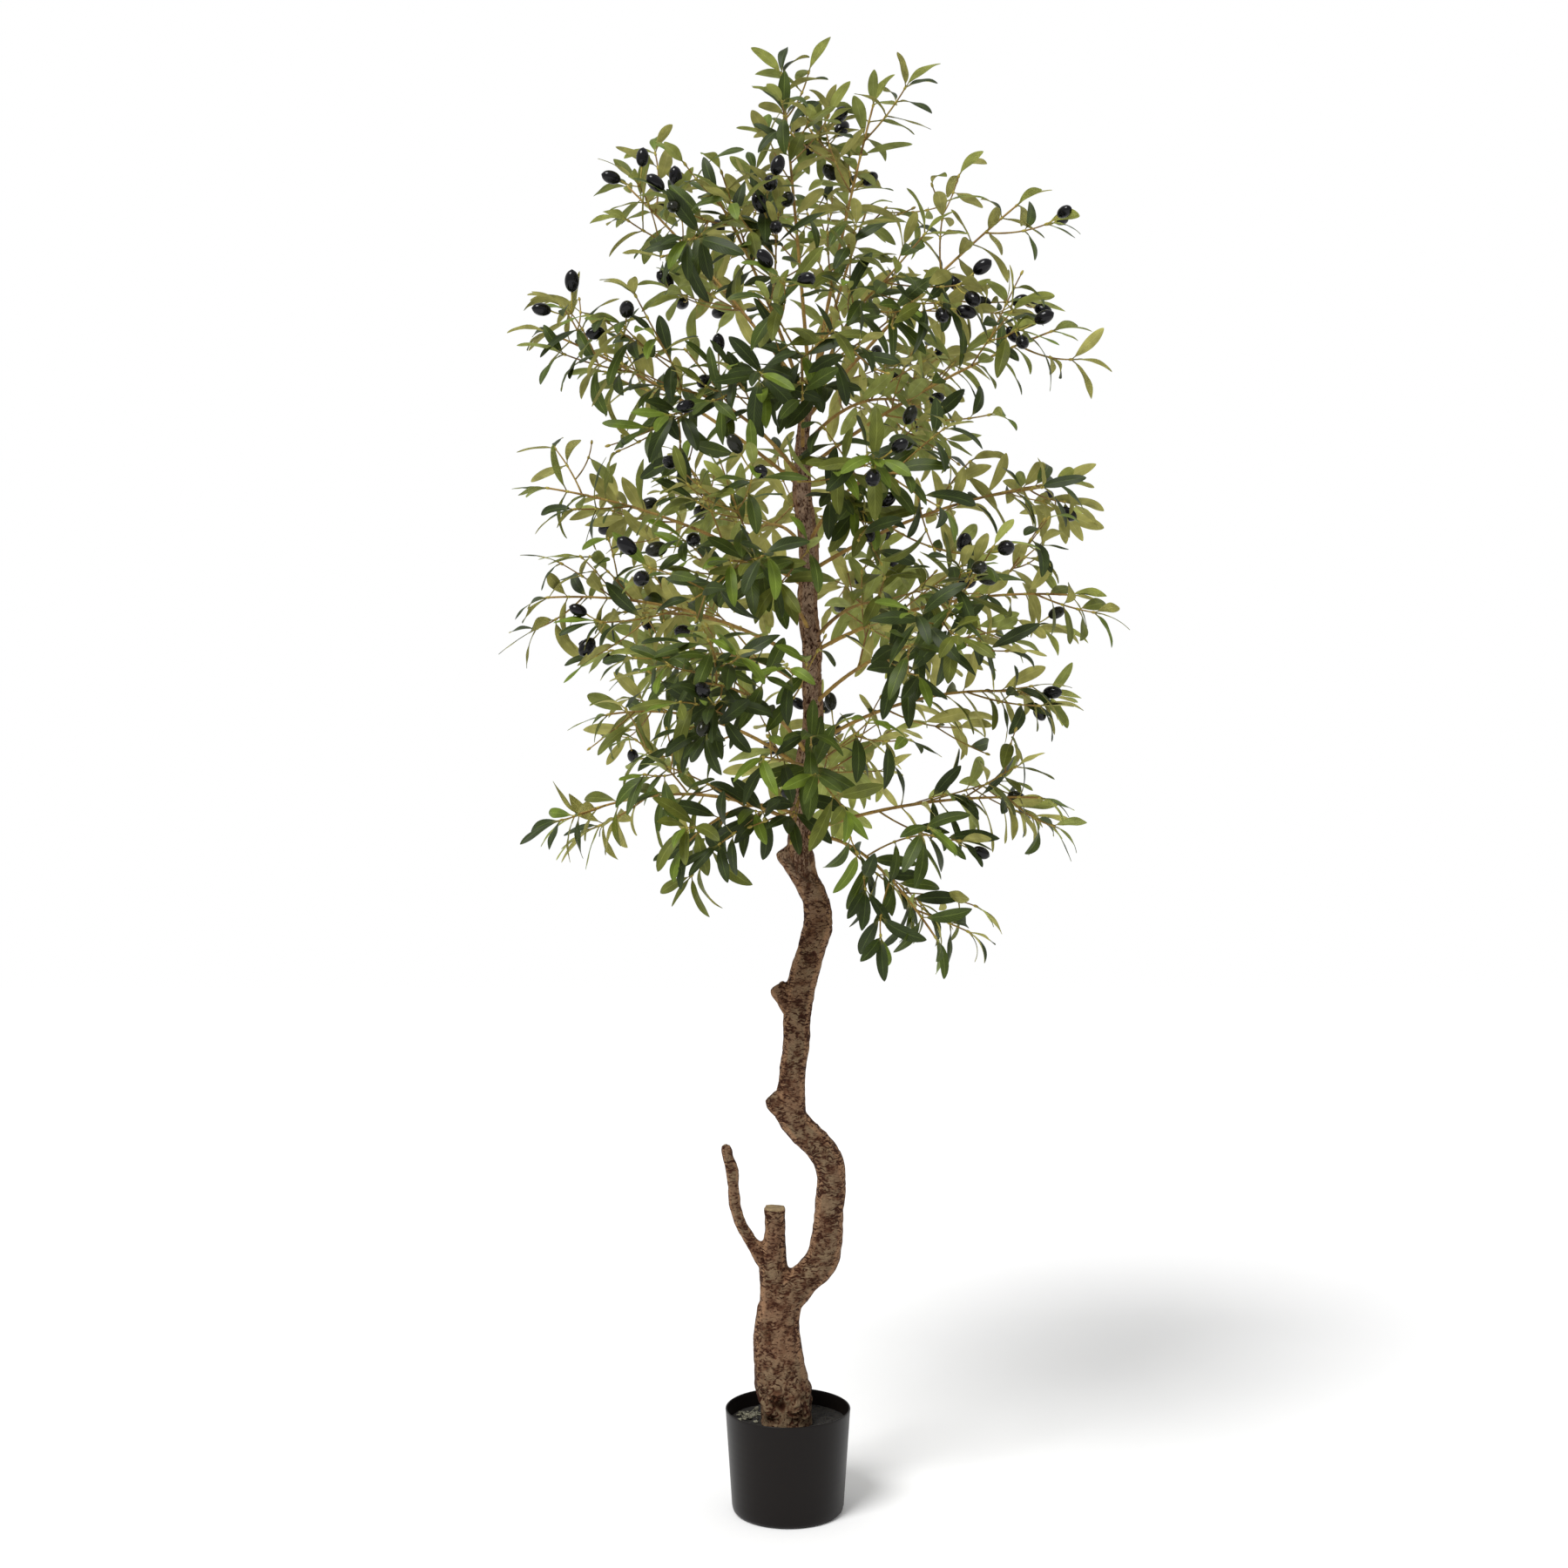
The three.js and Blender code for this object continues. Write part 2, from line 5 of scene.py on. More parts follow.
import bpy
import numpy as np
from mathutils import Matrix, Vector


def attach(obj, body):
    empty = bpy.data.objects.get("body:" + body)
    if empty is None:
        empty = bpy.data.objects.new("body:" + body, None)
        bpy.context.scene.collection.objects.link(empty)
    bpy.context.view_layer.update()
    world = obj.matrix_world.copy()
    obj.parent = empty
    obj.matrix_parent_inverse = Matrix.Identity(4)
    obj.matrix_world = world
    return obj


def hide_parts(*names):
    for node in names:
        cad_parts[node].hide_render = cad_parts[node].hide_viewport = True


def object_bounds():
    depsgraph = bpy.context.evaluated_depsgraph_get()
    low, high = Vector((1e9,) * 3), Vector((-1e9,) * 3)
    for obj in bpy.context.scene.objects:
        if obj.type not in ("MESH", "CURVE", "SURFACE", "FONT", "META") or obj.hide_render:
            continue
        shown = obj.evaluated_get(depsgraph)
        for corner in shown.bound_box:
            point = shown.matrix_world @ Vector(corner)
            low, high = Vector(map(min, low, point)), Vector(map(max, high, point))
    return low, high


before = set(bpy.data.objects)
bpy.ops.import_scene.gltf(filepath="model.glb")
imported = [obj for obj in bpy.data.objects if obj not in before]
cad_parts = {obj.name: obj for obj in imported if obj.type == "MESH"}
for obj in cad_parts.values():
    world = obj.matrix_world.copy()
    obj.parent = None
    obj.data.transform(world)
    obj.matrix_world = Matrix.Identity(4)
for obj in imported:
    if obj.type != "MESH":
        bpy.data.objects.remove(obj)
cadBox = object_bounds()
print("frame loaded:", len(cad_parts), "nodes")

metresPerMillimetre = 0.001
upward = np.array([0.0, 0.0, 1.0])

trunk = {
    "foot": 107.3,  # where the solid trunk starts
    "sunk": 4,  # how far the dressed trunk reaches down into the filling
    "sway": 11, "swayPerTurn": 520,  # the slow wander to the back and front
    "swayFrom": 107, "swayGrows": 150,  # where it starts, and over which height it grows
    "stations": [  # height, sideways place, radius
        (107, -1, 31), (145, -5, 32), (184, -11, 30), (222, -14, 27), (253, -7, 25), (277, 17, 20),
        (301, 40, 20), (325, 47, 19.5), (350, 49, 18), (378, 52, 17.5), (406, 53, 17.5), (429, 49, 17.5),
        (449, 35, 17.5), (466, 18, 17.5), (482, 6, 17.5), (502, 4, 17), (530, 5, 15.5), (568, 10, 16),
        (607, 11, 17), (645, 17, 17.5), (684, 28, 17), (722, 37, 17.5), (748, 33, 15.5), (773, 22, 15),
        (799, 16, 15.5), (835, 16, 14.5), (873, 18, 14.5), (921, 24, 13.5), (963, 31, 12.5),
        (1006, 29, 12), (1059, 29, 12), (1102, 24, 12), (1166, 26, 12), (1209, 23, 11.5), (1240, 18, 12),
        (1284, 18, 10), (1326, 19, 8), (1369, 27, 6), (1391, 30, 4.5),
    ],
    "knobs": [  # height and side of the root, height and side of the end, end radius
        ((462, 20), (509, -20), 13.5), ((602, 10), (642, -14), 11.5), ((768, 20), (808, -8), 11),
    ],
    "knobSwell": [(0, 1.05), (0.6, 0.98), (0.9, 0.95), (1, 0.7)],  # share of the way, size
    "cutLimb": [
        (246, -13, 22), (272, -16, 19), (298, -18, 17), (322, -17, 14), (345, -16, 12.5), (370, -16, 12.5),
    ],
    "sideLimb": [
        (294, -18, 15), (308, -32, 11), (326, -44, 8.5), (346, -56, 7.5), (368, -64, 6.5), (392, -66, 6.5),
        (414, -68, 7.5), (432, -73, 7), (446, -76, 5.5), (449, -77, 3),
    ],
}
# The boughs: root height, azimuth, reach, tip height, rise, seed of the mass, seed and count of its finer
# twigs. The last seven have no bare bough: their stems leave the trunk.
boughs = [
    (828, -6, 285, 872, 50, 23, 8, 4), (822, -46, 212, 712, 20, 19, 1, 4),
    (838, 186, 282, 850, 70, 13, 21, 4), (846, 226, 200, 820, 45, 12, 28, 4),
    (858, 75, 265, 905, 70, 30, 1, 10), (868, 272, 225, 900, 60, 41, 21, 8),
    (905, 172, 248, 975, 90, 43, 14, 4), (925, 243, 262, 1000, 80, 55, 34, 12),
    (935, 6, 292, 1000, 85, 17, 12, 6), (985, 311, 262, 1050, 75, 26, 31, 10),
    (1000, 135, 275, 1040, 85, 12, 16, 10), (1035, 184, 315, 1115, 90, 59, 26, 6),
    (1050, -4, 322, 1118, 80, 45, 8, 8), (1062, 60, 280, 1120, 85, 14, 17, 10),
    (1075, 250, 250, 1135, 75, 3, 17, 12), (1130, 177, 320, 1254, 95, 68, 15, 6),
    (1150, 7, 320, 1264, 90, 36, 9, 6), (1170, 108, 275, 1215, 85, 67, 10, 10),
    (1185, 296, 235, 1235, 75, 5, 14, 12), (1255, 184, 312, 1436, 115, 14, 30, 4),
    (1265, 222, 225, 1345, 90, 57, 21, 12), (1275, -3, 300, 1440, 105, 22, 29, 4),
    (1300, 268, 200, 1370, 80, 28, 18, 12), (1305, 50, 240, 1385, 100, 17, 19, 10),
    (1340, 14, 275, 1618, 150, 15, 6, 4), (1345, 303, 185, 1470, 120, 67, 6, 8),
    (1352, 236, 185, 1560, 130, 54, 2, 12), (1358, 62, 175, 1640, 150, 62, 6, 10),
    (1366, 157, 245, 1650, 150, 51, 12, 8), (1382, 215, 36, 1750, 190, 18, 22, 8),
    (1386, 30, 98, 1738, 190, 22, 4, 8),
]
bareBoughs = 24
crown = {
    "middle": 22, "bareShare": 0.3, "bend": 0.45, "site": 0.66, "rootShift": 3.2, "boughRadii": (3.2, 2.4),
    "stemTip": 1.3, "stemSteps": 4, "firstNode": 0.06, "lastTwig": 0.82, "directStart": 0.2,
    "cellMargin": 0.4, "limbMargin": 1.6, "goldenTurn": 137.508,
    "boughSteps": 3, "stemGap": 0.39,  # between a bare bough's end and the stem that meets it
    "leafOverCell": -8,  # a life-size leaf may pass a little out of its mass's space
    "overReach": (16, 16, 36),  # and out of the solids' box
    "leafOffLimbs": 2.5, "fineOffLimbs": 0.5,
}
# A pair named lengths, sizes, widths, arches or places is the least value and how far it varies.
twig = {
    "count": 4, "length": 140, "lengths": (0.85, 0.3), "shorter": 0.45, "shortest": 40, "bare": 0.22,
    "spread": 50, "spreadVary": 14, "rootRadius": 1.5,
    "bend": (0.5, 0.25, 0.2, 0.12),  # shares of its length: out, on from there, ahead and up
    "sag": 0.3, "fineFrom": 0.2,  # taken off the draw that lifts it, and where finer twigs may start
}
fineTwig = {
    "length": 85, "lengths": (0.75, 0.5), "shortest": 30, "bare": 0.25, "places": (0.1, 0.8),
    "radii": (1.0, 0.8), "olives": 0.26, "seedFrom": 50000,
}
leaf = {
    "spacing": 25, "length": 70, "sizes": (0.82, 0.36), "width": 19, "widths": (0.85, 0.3),
    "open": 56, "openVary": 24, "tipOpen": 0.65, "straightOn": 8, "arch": 48, "arches": (0.3, 1.4),
    "lean": 0.5, "droop": 0.3, "facing": 0.7, "young": 0.82,
    "probesAlong": (0.15, 0.3, 0.45, 0.6, 0.75, 0.9, 1), "probesAcross": (-0.4, 0, 0.4),
}
olive = {
    "length": 26, "sizes": (0.88, 0.2), "stalk": 24, "stalkRadius": 0.8, "share": 0.25, "beforeTip": 0.06,
    "around": (0, 150), "out": 0.9, "droop": 0.4, "room": 0.62,
}


# Numbers from 0 to 1, the same in every run: each state is the last one times a long number plus another,
# less whole multiples of 2^32.
def drawsFrom(seed):
    state = seed * 7919 + 12345

    def draw():
        nonlocal state
        state = (state * 1664525 + 1013904223) % 4294967296
        return state / 4294967296

    for _ in range(4):
        draw()
    return draw


# A pair's first value and a drawn share of its second.
def drawn(pair, draw):
    return pair[0] + pair[1] * draw()


# A vector divided by its length.
def unit(vector):
    return vector / np.linalg.norm(vector, axis=-1, keepdims=True)


# A unit vector square to a direction, as near to a wished one as it can be.
def squareTo(direction, wish):
    across = wish - direction * (wish @ direction)
    if np.linalg.norm(across) < 1e-3:
        across = np.array([-direction[2], 0.0, direction[0]])
    return unit(across)


# A vector turned round an axis: v cos a + (axis x v) sin a + axis (axis . v)(1 - cos a).
def turned(vector, axis, degrees):
    angle = np.radians(degrees)
    return (vector * np.cos(angle) + np.cross(axis, vector) * np.sin(angle)
            + axis * (axis @ vector) * (1 - np.cos(angle)))


# A quadratic curve: at t it is (1-t)^2 a + 2t(1-t) b + t^2 c, and its way there is (1-t)(b-a) + t(c-b). Its
# length is that of 200 straight steps.
class Curve:
    def __init__(self, a, b, c):
        self.a, self.b, self.c = a, b, c

    def at(self, t):
        t = np.asarray(t, float)[..., None]
        return (1 - t) ** 2 * self.a + 2 * t * (1 - t) * self.b + t * t * self.c

    def way(self, t):
        t = np.asarray(t, float)[..., None]
        return unit((1 - t) * (self.b - self.a) + t * (self.c - self.b))

    def length(self):
        return np.linalg.norm(np.diff(self.at(np.linspace(0, 1, 201)), axis=0), axis=1).sum()


# How far the trunk stands to the back at a height: a slow sine that starts at the filling.
def depthAt(height):
    above = np.asarray(height, float) - trunk["swayFrom"]
    wave = np.sin(2 * np.pi * above / trunk["swayPerTurn"])
    return trunk["sway"] * wave * np.clip(above / trunk["swayGrows"], 0, 1)


# A line in space and its radii, from stations of height, sideways place and radius.
def lineThrough(stations):
    heights, sides, radii = np.array(stations, float).T
    return np.stack([sides, depthAt(heights), heights], 1), radii


trunkLine = lineThrough(trunk["stations"])
trunkLine[0][0, 2] = trunk["foot"]
knobLines = [
    lineThrough([(root[0] + (end[0] - root[0]) * share, root[1] + (end[1] - root[1]) * share, radius * size)
                 for share, size in trunk["knobSwell"]])
    for root, end, radius in trunk["knobs"]
]


# The trunk's middle at a height, in a straight line between two stations.
def trunkPoint(height):
    points = trunkLine[0]
    return np.array([np.interp(height, points[:, 2], points[:, k]) for k in range(3)])


# A bough and the stem of its mass lie on one curve: out of the trunk, up, and over to the tip.
def boughCurve(root, azimuth, reach, tip, rise, *_):
    plan = np.array([np.cos(np.radians(azimuth)), np.sin(np.radians(azimuth)), 0.0])
    start = trunkPoint(root) + plan * crown["rootShift"]
    end = np.array([crown["middle"] + reach * plan[0], reach * plan[1], tip])
    control = start + (end - start) * crown["bend"]
    control[2] = root + rise
    return Curve(start, control, end)


curves = [boughCurve(*row) for row in boughs]
stemStart = [crown["bareShare"] if i < bareBoughs else 0.0 for i in range(len(boughs))]
sites = np.array([curve.at(crown["site"]) for curve in curves])


# Each mass keeps to the space that is nearer to its own middle than to any other's.
def insideCell(points, own, margin):
    away = np.delete(sites, own, 0) - sites[own]
    far = np.linalg.norm(away, axis=1)
    return ((np.atleast_2d(points) - sites[own]) @ away.T / far < far / 2 - margin).all(1)


# Points at even steps along a part of a curve, and radii that change evenly.
def lineAlong(curve, start, end, steps, radii):
    return curve.at(np.linspace(start, end, steps + 1)), np.linspace(*radii, steps + 1)


# Everything stiff that a leaf has to miss, as short straight pieces: from, span, radius, owner.
def piecesOf(points, radii, own=-1):
    owners = np.full(len(points) - 1, own)
    return points[:-1], np.diff(points, axis=0), np.maximum(radii[:-1], radii[1:]), owners


stiffPieces = [piecesOf(*line) for line in [trunkLine, *knobLines]]
for own, curve in enumerate(curves):
    stemFrom = stemStart[own] and stemStart[own] + crown["stemGap"] / curve.length()
    stemLine = lineAlong(curve, stemFrom, 1, crown["stemSteps"], (crown["boughRadii"][1], crown["stemTip"]))
    stiffPieces.append(piecesOf(*stemLine, own))
    if stemStart[own]:
        bareLine = lineAlong(curve, 0, stemStart[own], crown["boughSteps"], crown["boughRadii"])
        stiffPieces.append(piecesOf(*bareLine))
limbFrom, limbSpan, limbRadius, limbOwner = (np.concatenate(part) for part in zip(*stiffPieces))


# Whether points miss what isn't their own: their distance to each piece's middle line is more than its radius
# and the room together.
def clearOfLimbs(points, own, room):
    other = limbOwner != own
    start, span, radius = limbFrom[other], limbSpan[other], limbRadius[other]
    away = np.atleast_2d(points)[:, None] - start
    share = np.clip((away * span).sum(-1) / (span * span).sum(-1), 0, 1)
    gap = np.linalg.norm(away - share[..., None] * span, axis=-1)
    return (gap > radius + room).all(1)


# A twig leaves its stem sideways and turns back towards the way the stem goes.
def growTwig(curve, at, roll, length, draw):
    start, ahead = curve.at(at), curve.way(at)
    side = turned(squareTo(ahead, upward), ahead, roll)
    spread = np.radians(twig["spread"] + twig["spreadVary"] * (draw() - 0.5))
    out = ahead * np.cos(spread) + side * np.sin(spread)
    outward, onward, along, up = twig["bend"]
    control = start + out * outward * length
    lift = draw() - twig["sag"]
    end = control + out * onward * length + ahead * along * length + upward * up * length * lift
    return Curve(start, control, end)


# The share of a twig that stays in its cell and clear of the limbs.
def freeShare(curve, own, cellMargin, limbMargin):
    checks = 10
    points = curve.at(np.arange(checks + 1) / checks)
    inside = insideCell(points, own, twig["rootRadius"] + cellMargin)
    clear = clearOfLimbs(points, own, twig["rootRadius"] + limbMargin)
    clear[0] = True
    stopped = np.flatnonzero(~(inside & clear))
    return max(0, stopped[0] - 1) / checks if len(stopped) else 1.0


# The leaves at one node: a pair on opposite sides, turned a quarter from one node to the next, and at the tip
# one more that goes straight on. A leaf is its foot, the way it starts, its upper side, its length and width,
# and its arch, the angle that it bends through.
def growNode(curve, share, turn, node, own, draw):
    foot, ahead = curve.at(share), curve.way(share)
    leaves = []
    for member in range(3 if node == 0 else 2):
        openness = (leaf["open"] + leaf["openVary"] * (draw() - 0.5)) * (leaf["tipOpen"] if node == 0 else 1)
        opened = np.radians(leaf["straightOn"] if member == 2 else openness)
        size = drawn(leaf["sizes"], draw)
        arch = np.radians(leaf["arch"] * drawn(leaf["arches"], draw))
        lean = leaf["lean"] * (draw() - 0.5)
        droop = leaf["droop"] * draw()
        side = turned(squareTo(ahead, upward), ahead, turn + 180 * member)
        way = unit(ahead * np.cos(opened) + side * np.sin(opened) - upward * droop)
        top = turned(squareTo(way, ahead + upward * leaf["facing"]), way, np.degrees(lean))
        young = leaf["young"] if node == 0 else 1
        width = leaf["width"] * (leaf["widths"][0] + leaf["widths"][1] * (size - leaf["sizes"][0])) * young
        length = leaf["length"] * size * young
        leaves.append({"foot": foot, "way": way, "top": top, "length": length, "width": width,
                       "arch": arch, "node": node, "own": own})
    return leaves


# A point on a leaf: along a circular arc of its length, and out to the side.
def leafPoint(one, share, aside=0.0):
    bent = one["arch"] * share
    point = one["foot"] + one["way"] * one["length"] * np.sin(bent) / one["arch"]
    point = point - one["top"] * one["length"] * (1 - np.cos(bent)) / one["arch"]
    return point + np.cross(one["way"], one["top"]) * aside


reach = np.array(cadBox) / metresPerMillimetre + np.array([[-1], [1]]) * crown["overReach"]


# Whether a leaf's corners are in its mass's space, its tip within reach, and its blade clear of the limbs.
def leafIsFree(one):
    corners = [leafPoint(one, along, across * one["width"])
               for along, across in ((0, 0), (1, 0), (0.5, -0.5), (0.5, 0.5))]
    if not insideCell(np.array(corners), one["own"], crown["leafOverCell"]).all():
        return False
    if (np.array(corners[1]) < reach[0]).any() or (np.array(corners[1]) > reach[1]).any():
        return False
    probes = [leafPoint(one, along, across * one["width"] * (1 - abs(2 * along - 1)))
              for along in leaf["probesAlong"] for across in leaf["probesAcross"]]
    return clearOfLimbs(np.array(probes), one["own"], crown["leafOffLimbs"]).all()


# A pair of olives on thin stalks, on some of the twigs, near the tip.
def growOlives(curve, share, own, draw, wantedShare):
    foot, ahead = curve.at(share), curve.way(share)
    roll = 360 * draw()
    wanted = draw() < wantedShare
    pair = []
    for around in olive["around"]:
        side = turned(squareTo(ahead, upward), ahead, roll + around)
        way = unit(ahead + side * olive["out"] - upward * olive["droop"] * draw())
        size = drawn(olive["sizes"], draw)
        middle = foot + way * (olive["stalk"] + olive["length"] * size / 2)
        pair.append({"foot": foot, "way": way, "size": size, "middle": middle})
    room = olive["length"] * olive["room"]
    return [one for one in pair if wanted and insideCell(one["middle"], own, room)[0]
            and clearOfLimbs(one["middle"], own, room + crown["limbMargin"])[0]]


# The twigs, leaves and olives of one mass, and then its finer twigs, which have draws of their own.
def growMass(own, grown):
    seed, fineSeed, fineCount = boughs[own][5:]
    draw = drawsFrom(100 * seed + own)
    curve = curves[own]
    twigs = []

    # Leaves at even steps from a line's end down to its start, and olives near the end.
    def dress(line, start, end, oliveShare, spray):
        nodes = max(1, int(line.length() * (end - start) / leaf["spacing"] + 0.5))
        bearing = 90 * draw()
        for node in range(nodes):
            share = end - node * (end - start) / nodes
            for one in growNode(line, share, 90 * node + bearing, node, own, draw):
                if leafIsFree(one):
                    grown["leaves"].append({**one, "spray": spray})
            grown["nodes"].append({"place": line.at(share), "way": line.way(share)})
        grown["olives"] += growOlives(line, end - olive["beforeTip"], own, draw, oliveShare)

    startRoll = 360 * draw()
    first = stemStart[own] or crown["directStart"]
    for k in range(twig["count"]):
        share = crown["firstNode"] + (crown["lastTwig"] - crown["firstNode"]) * k / (twig["count"] - 1)
        length = twig["length"] * (1 - twig["shorter"] * share) * drawn(twig["lengths"], draw)
        line = growTwig(curve, first + (1 - first) * share, startRoll + k * crown["goldenTurn"], length, draw)
        free = freeShare(line, own, crown["cellMargin"], crown["limbMargin"])
        if free * length < twig["shortest"]:
            continue
        twigs.append((line, twig["fineFrom"] * free, free))
        grown["twigs"].append((line, free))
        dress(line, twig["bare"] * free, free, olive["share"], (own, k))
    dress(curve, first + crown["firstNode"], 1, olive["share"], (own, twig["count"]))

    draw = drawsFrom(fineTwig["seedFrom"] + 100 * fineSeed + own)
    parents = [(curve, first, 1.0), *twigs]
    for k in range(fineCount):
        line, start, end = parents[int(draw() * len(parents))]
        share = start + (end - start) * drawn(fineTwig["places"], draw)
        length = fineTwig["length"] * drawn(fineTwig["lengths"], draw)
        side = growTwig(line, share, 360 * draw(), length, draw)
        free = freeShare(side, own, crown["leafOverCell"], crown["fineOffLimbs"])
        if free * length < fineTwig["shortest"]:
            continue
        grown["fineTwigs"].append((side, free))
        dress(side, fineTwig["bare"] * free, free, fineTwig["olives"], (own, twig["count"] + 1 + k))


grown = {"twigs": [], "fineTwigs": [], "leaves": [], "nodes": [], "olives": []}
for own in range(len(boughs)):
    growMass(own, grown)
print("crown grown:", {kind: len(things) for kind, things in grown.items()})


# Puts points in millimetres into a mesh in metres.
def movePoints(mesh, points):
    mesh.vertices.foreach_set("co", (points * metresPerMillimetre).astype(np.float32).ravel())


# One field of a mesh's points or edges, as rows.
def rowsOf(things, field, kind=np.float32):
    width = 2 if field == "vertices" else 3
    rows = np.empty(len(things) * width, kind)
    things.foreach_get(field, rows)
    return rows.reshape(-1, width)


# A mesh piece from corner points in millimetres and faces that all have four corners.
def makePiece(name, points, faces, materials, faceMaterial=None, uv=None, sharp=False):
    mesh = bpy.data.meshes.new(name)
    mesh.vertices.add(len(points))
    movePoints(mesh, points)
    mesh.loops.add(faces.size)
    mesh.loops.foreach_set("vertex_index", faces.astype(np.int32).ravel())
    mesh.polygons.add(len(faces))
    mesh.polygons.foreach_set("loop_start", np.arange(0, faces.size, 4, dtype=np.int32))
    mesh.polygons.foreach_set("use_smooth", np.full(len(faces), not sharp))
    if faceMaterial is not None:
        mesh.polygons.foreach_set("material_index", faceMaterial.astype(np.int32))
    if uv is not None:
        mesh.uv_layers.new(name="along").data.foreach_set("uv", uv[faces.ravel()].astype(np.float32).ravel())
    for material in materials:
        mesh.materials.append(material)
    mesh.update(calc_edges=True)
    piece = bpy.data.objects.new(name, mesh)
    bpy.context.scene.collection.objects.link(piece)
    return piece


# The faces of many closed tubes, each a stack of rings: quads between rings, and quads that close both ends.
def ringFaces(count, rings, sides):
    k = np.arange(sides)
    after = (k + 1) % sides
    wall = np.stack([k, after, after + sides, k + sides], 1)
    wall = (wall[None] + sides * np.arange(rings - 1)[:, None, None]).reshape(-1, 4)
    pairs = np.arange(1, sides // 2)
    lid = np.stack([np.zeros_like(pairs), 2 * pairs - 1, 2 * pairs, 2 * pairs + 1], 1)
    closed = np.concatenate([wall, lid[:, ::-1], lid + sides * (rings - 1)])
    return (closed[None] + rings * sides * np.arange(count)[:, None, None]).reshape(-1, 4)


# One value of each thing in a list, as an array.
def column(things, key):
    return np.array([one[key] for one in things])


# Tubes along lines: point + radius (cos k side + sin k other), in rings square to each line. The side of a
# ring is a constant vector of the tube, made square to the line there. The radius goes by ring, or by ring
# and side.
def tubePoints(points, radii, sides, steady):
    ways = unit(np.gradient(points, axis=1))
    side = unit(steady[:, None] - ways * (ways * steady[:, None]).sum(-1, keepdims=True))
    other = np.cross(ways, side)
    k = 2 * np.pi * np.arange(sides) / sides
    ring = np.cos(k)[:, None] * side[:, :, None] + np.sin(k)[:, None] * other[:, :, None]
    radii = radii if radii.ndim == 3 else radii[..., None]
    return points[:, :, None] + radii[..., None] * ring


askew = np.array([0.31, 0.22, 0.93])  # a way that no twig lies along


# A vector square to each tube's two ends and its middle, so a bent line never turns along it.
def steadySide(points):
    half = points.shape[1] // 2
    square = np.cross(points[:, half] - points[:, 0], points[:, -1] - points[:, half])
    spare = np.cross(points[:, -1] - points[:, 0], askew)
    return unit(np.where(np.linalg.norm(square, axis=1, keepdims=True) < 1e-3, spare, square))


# Smooth noise from about -1 to 1: each corner of a lattice of that size has a fixed random slope, and the
# slopes' heights at a point are blended by s*s*(3-2s). The long numbers mix a corner's place into its slope.
def noiseAt(points, size, seed):
    cell = np.floor(points / size).astype(np.int64)
    share = points / size - cell
    blend = share * share * (3 - 2 * share)
    total = np.zeros(len(points))
    for corner in np.ndindex(2, 2, 2):
        lattice = (cell + corner).astype(np.uint64)
        mixed = lattice[:, 0] * np.uint64(73856093) ^ lattice[:, 1] * np.uint64(19349663)
        mixed ^= lattice[:, 2] * np.uint64(83492791) ^ np.uint64(seed * 2654435761)
        mixed = (mixed ^ (mixed >> np.uint64(13))) * np.uint64(1274126177)
        mixed ^= mixed >> np.uint64(16)
        slope = np.stack([mixed >> np.uint64(bits) & np.uint64(1023) for bits in (0, 10, 20)], 1) / 511.5 - 1
        weight = np.where(np.array(corner) == 1, blend, 1 - blend).prod(1)
        total += (slope * (share - corner)).sum(1) * weight
    return 2 * total


# An sRGB hex colour as linear light: c/12.92 where it is dark, else ((c + 0.055)/1.055)^2.4.
def linearFrom(hexColour):
    channels = [int(hexColour[i:i + 2], 16) / 255 for i in (1, 3, 5)]
    return [c / 12.92 if c <= 0.04045 else ((c + 0.055) / 1.055) ** 2.4 for c in channels] + [1.0]


# Adds one node and gives one of its outputs. Inputs are values or sockets to link, in the node's own order or
# by name or number, and settings are the node's own.
def addNode(tree, kind, inputs=(), output=0, **settings):
    node = tree.nodes.new("ShaderNode" + kind)
    for name, value in settings.items():
        setattr(node, name, value)
    for name, value in inputs.items() if isinstance(inputs, dict) else enumerate(inputs):
        if isinstance(value, bpy.types.NodeSocket):
            tree.links.new(value, node.inputs[name])
        else:
            node.inputs[name].default_value = value
    return node.outputs[output]


# A material with numbers set on its shader's own sockets.
def newMaterial(name, roughness, **fixed):
    material = bpy.data.materials.new(name)
    material.use_nodes = True
    surface = material.node_tree.nodes["Principled BSDF"]
    surface.inputs["Roughness"].default_value = roughness
    for socket, value in fixed.items():
        surface.inputs[socket.replace("_", " ")].default_value = value
    return material


grainBand = (0.3, 0.7)  # where most of a noise lies


# Finishes a material: tints laid over its ground colour, each by its own share, then lighter and darker by a
# grain between two values, and a relief in a depth in millimetres.
def paintMaterial(material, colour, tints, grain, values, relief, strength, depth):
    add = partial(addNode, material.node_tree)
    colour = linearFrom(colour)
    for share, tint in tints:
        colour = add("Mix", {0: share, 6: colour, 7: linearFrom(tint)}, output=2, data_type="RGBA")
    value = add("MapRange", [grain, *grainBand, *values])
    shaded = add("HueSaturation", {"Value": value, "Color": colour})
    raised = add("Bump", {"Height": relief, "Strength": strength, "Distance": depth * metresPerMillimetre})
    surface = material.node_tree.nodes["Principled BSDF"].inputs
    for socket, output in (("Base Color", shaded), ("Normal", raised)):
        material.node_tree.links.new(output, surface[socket])


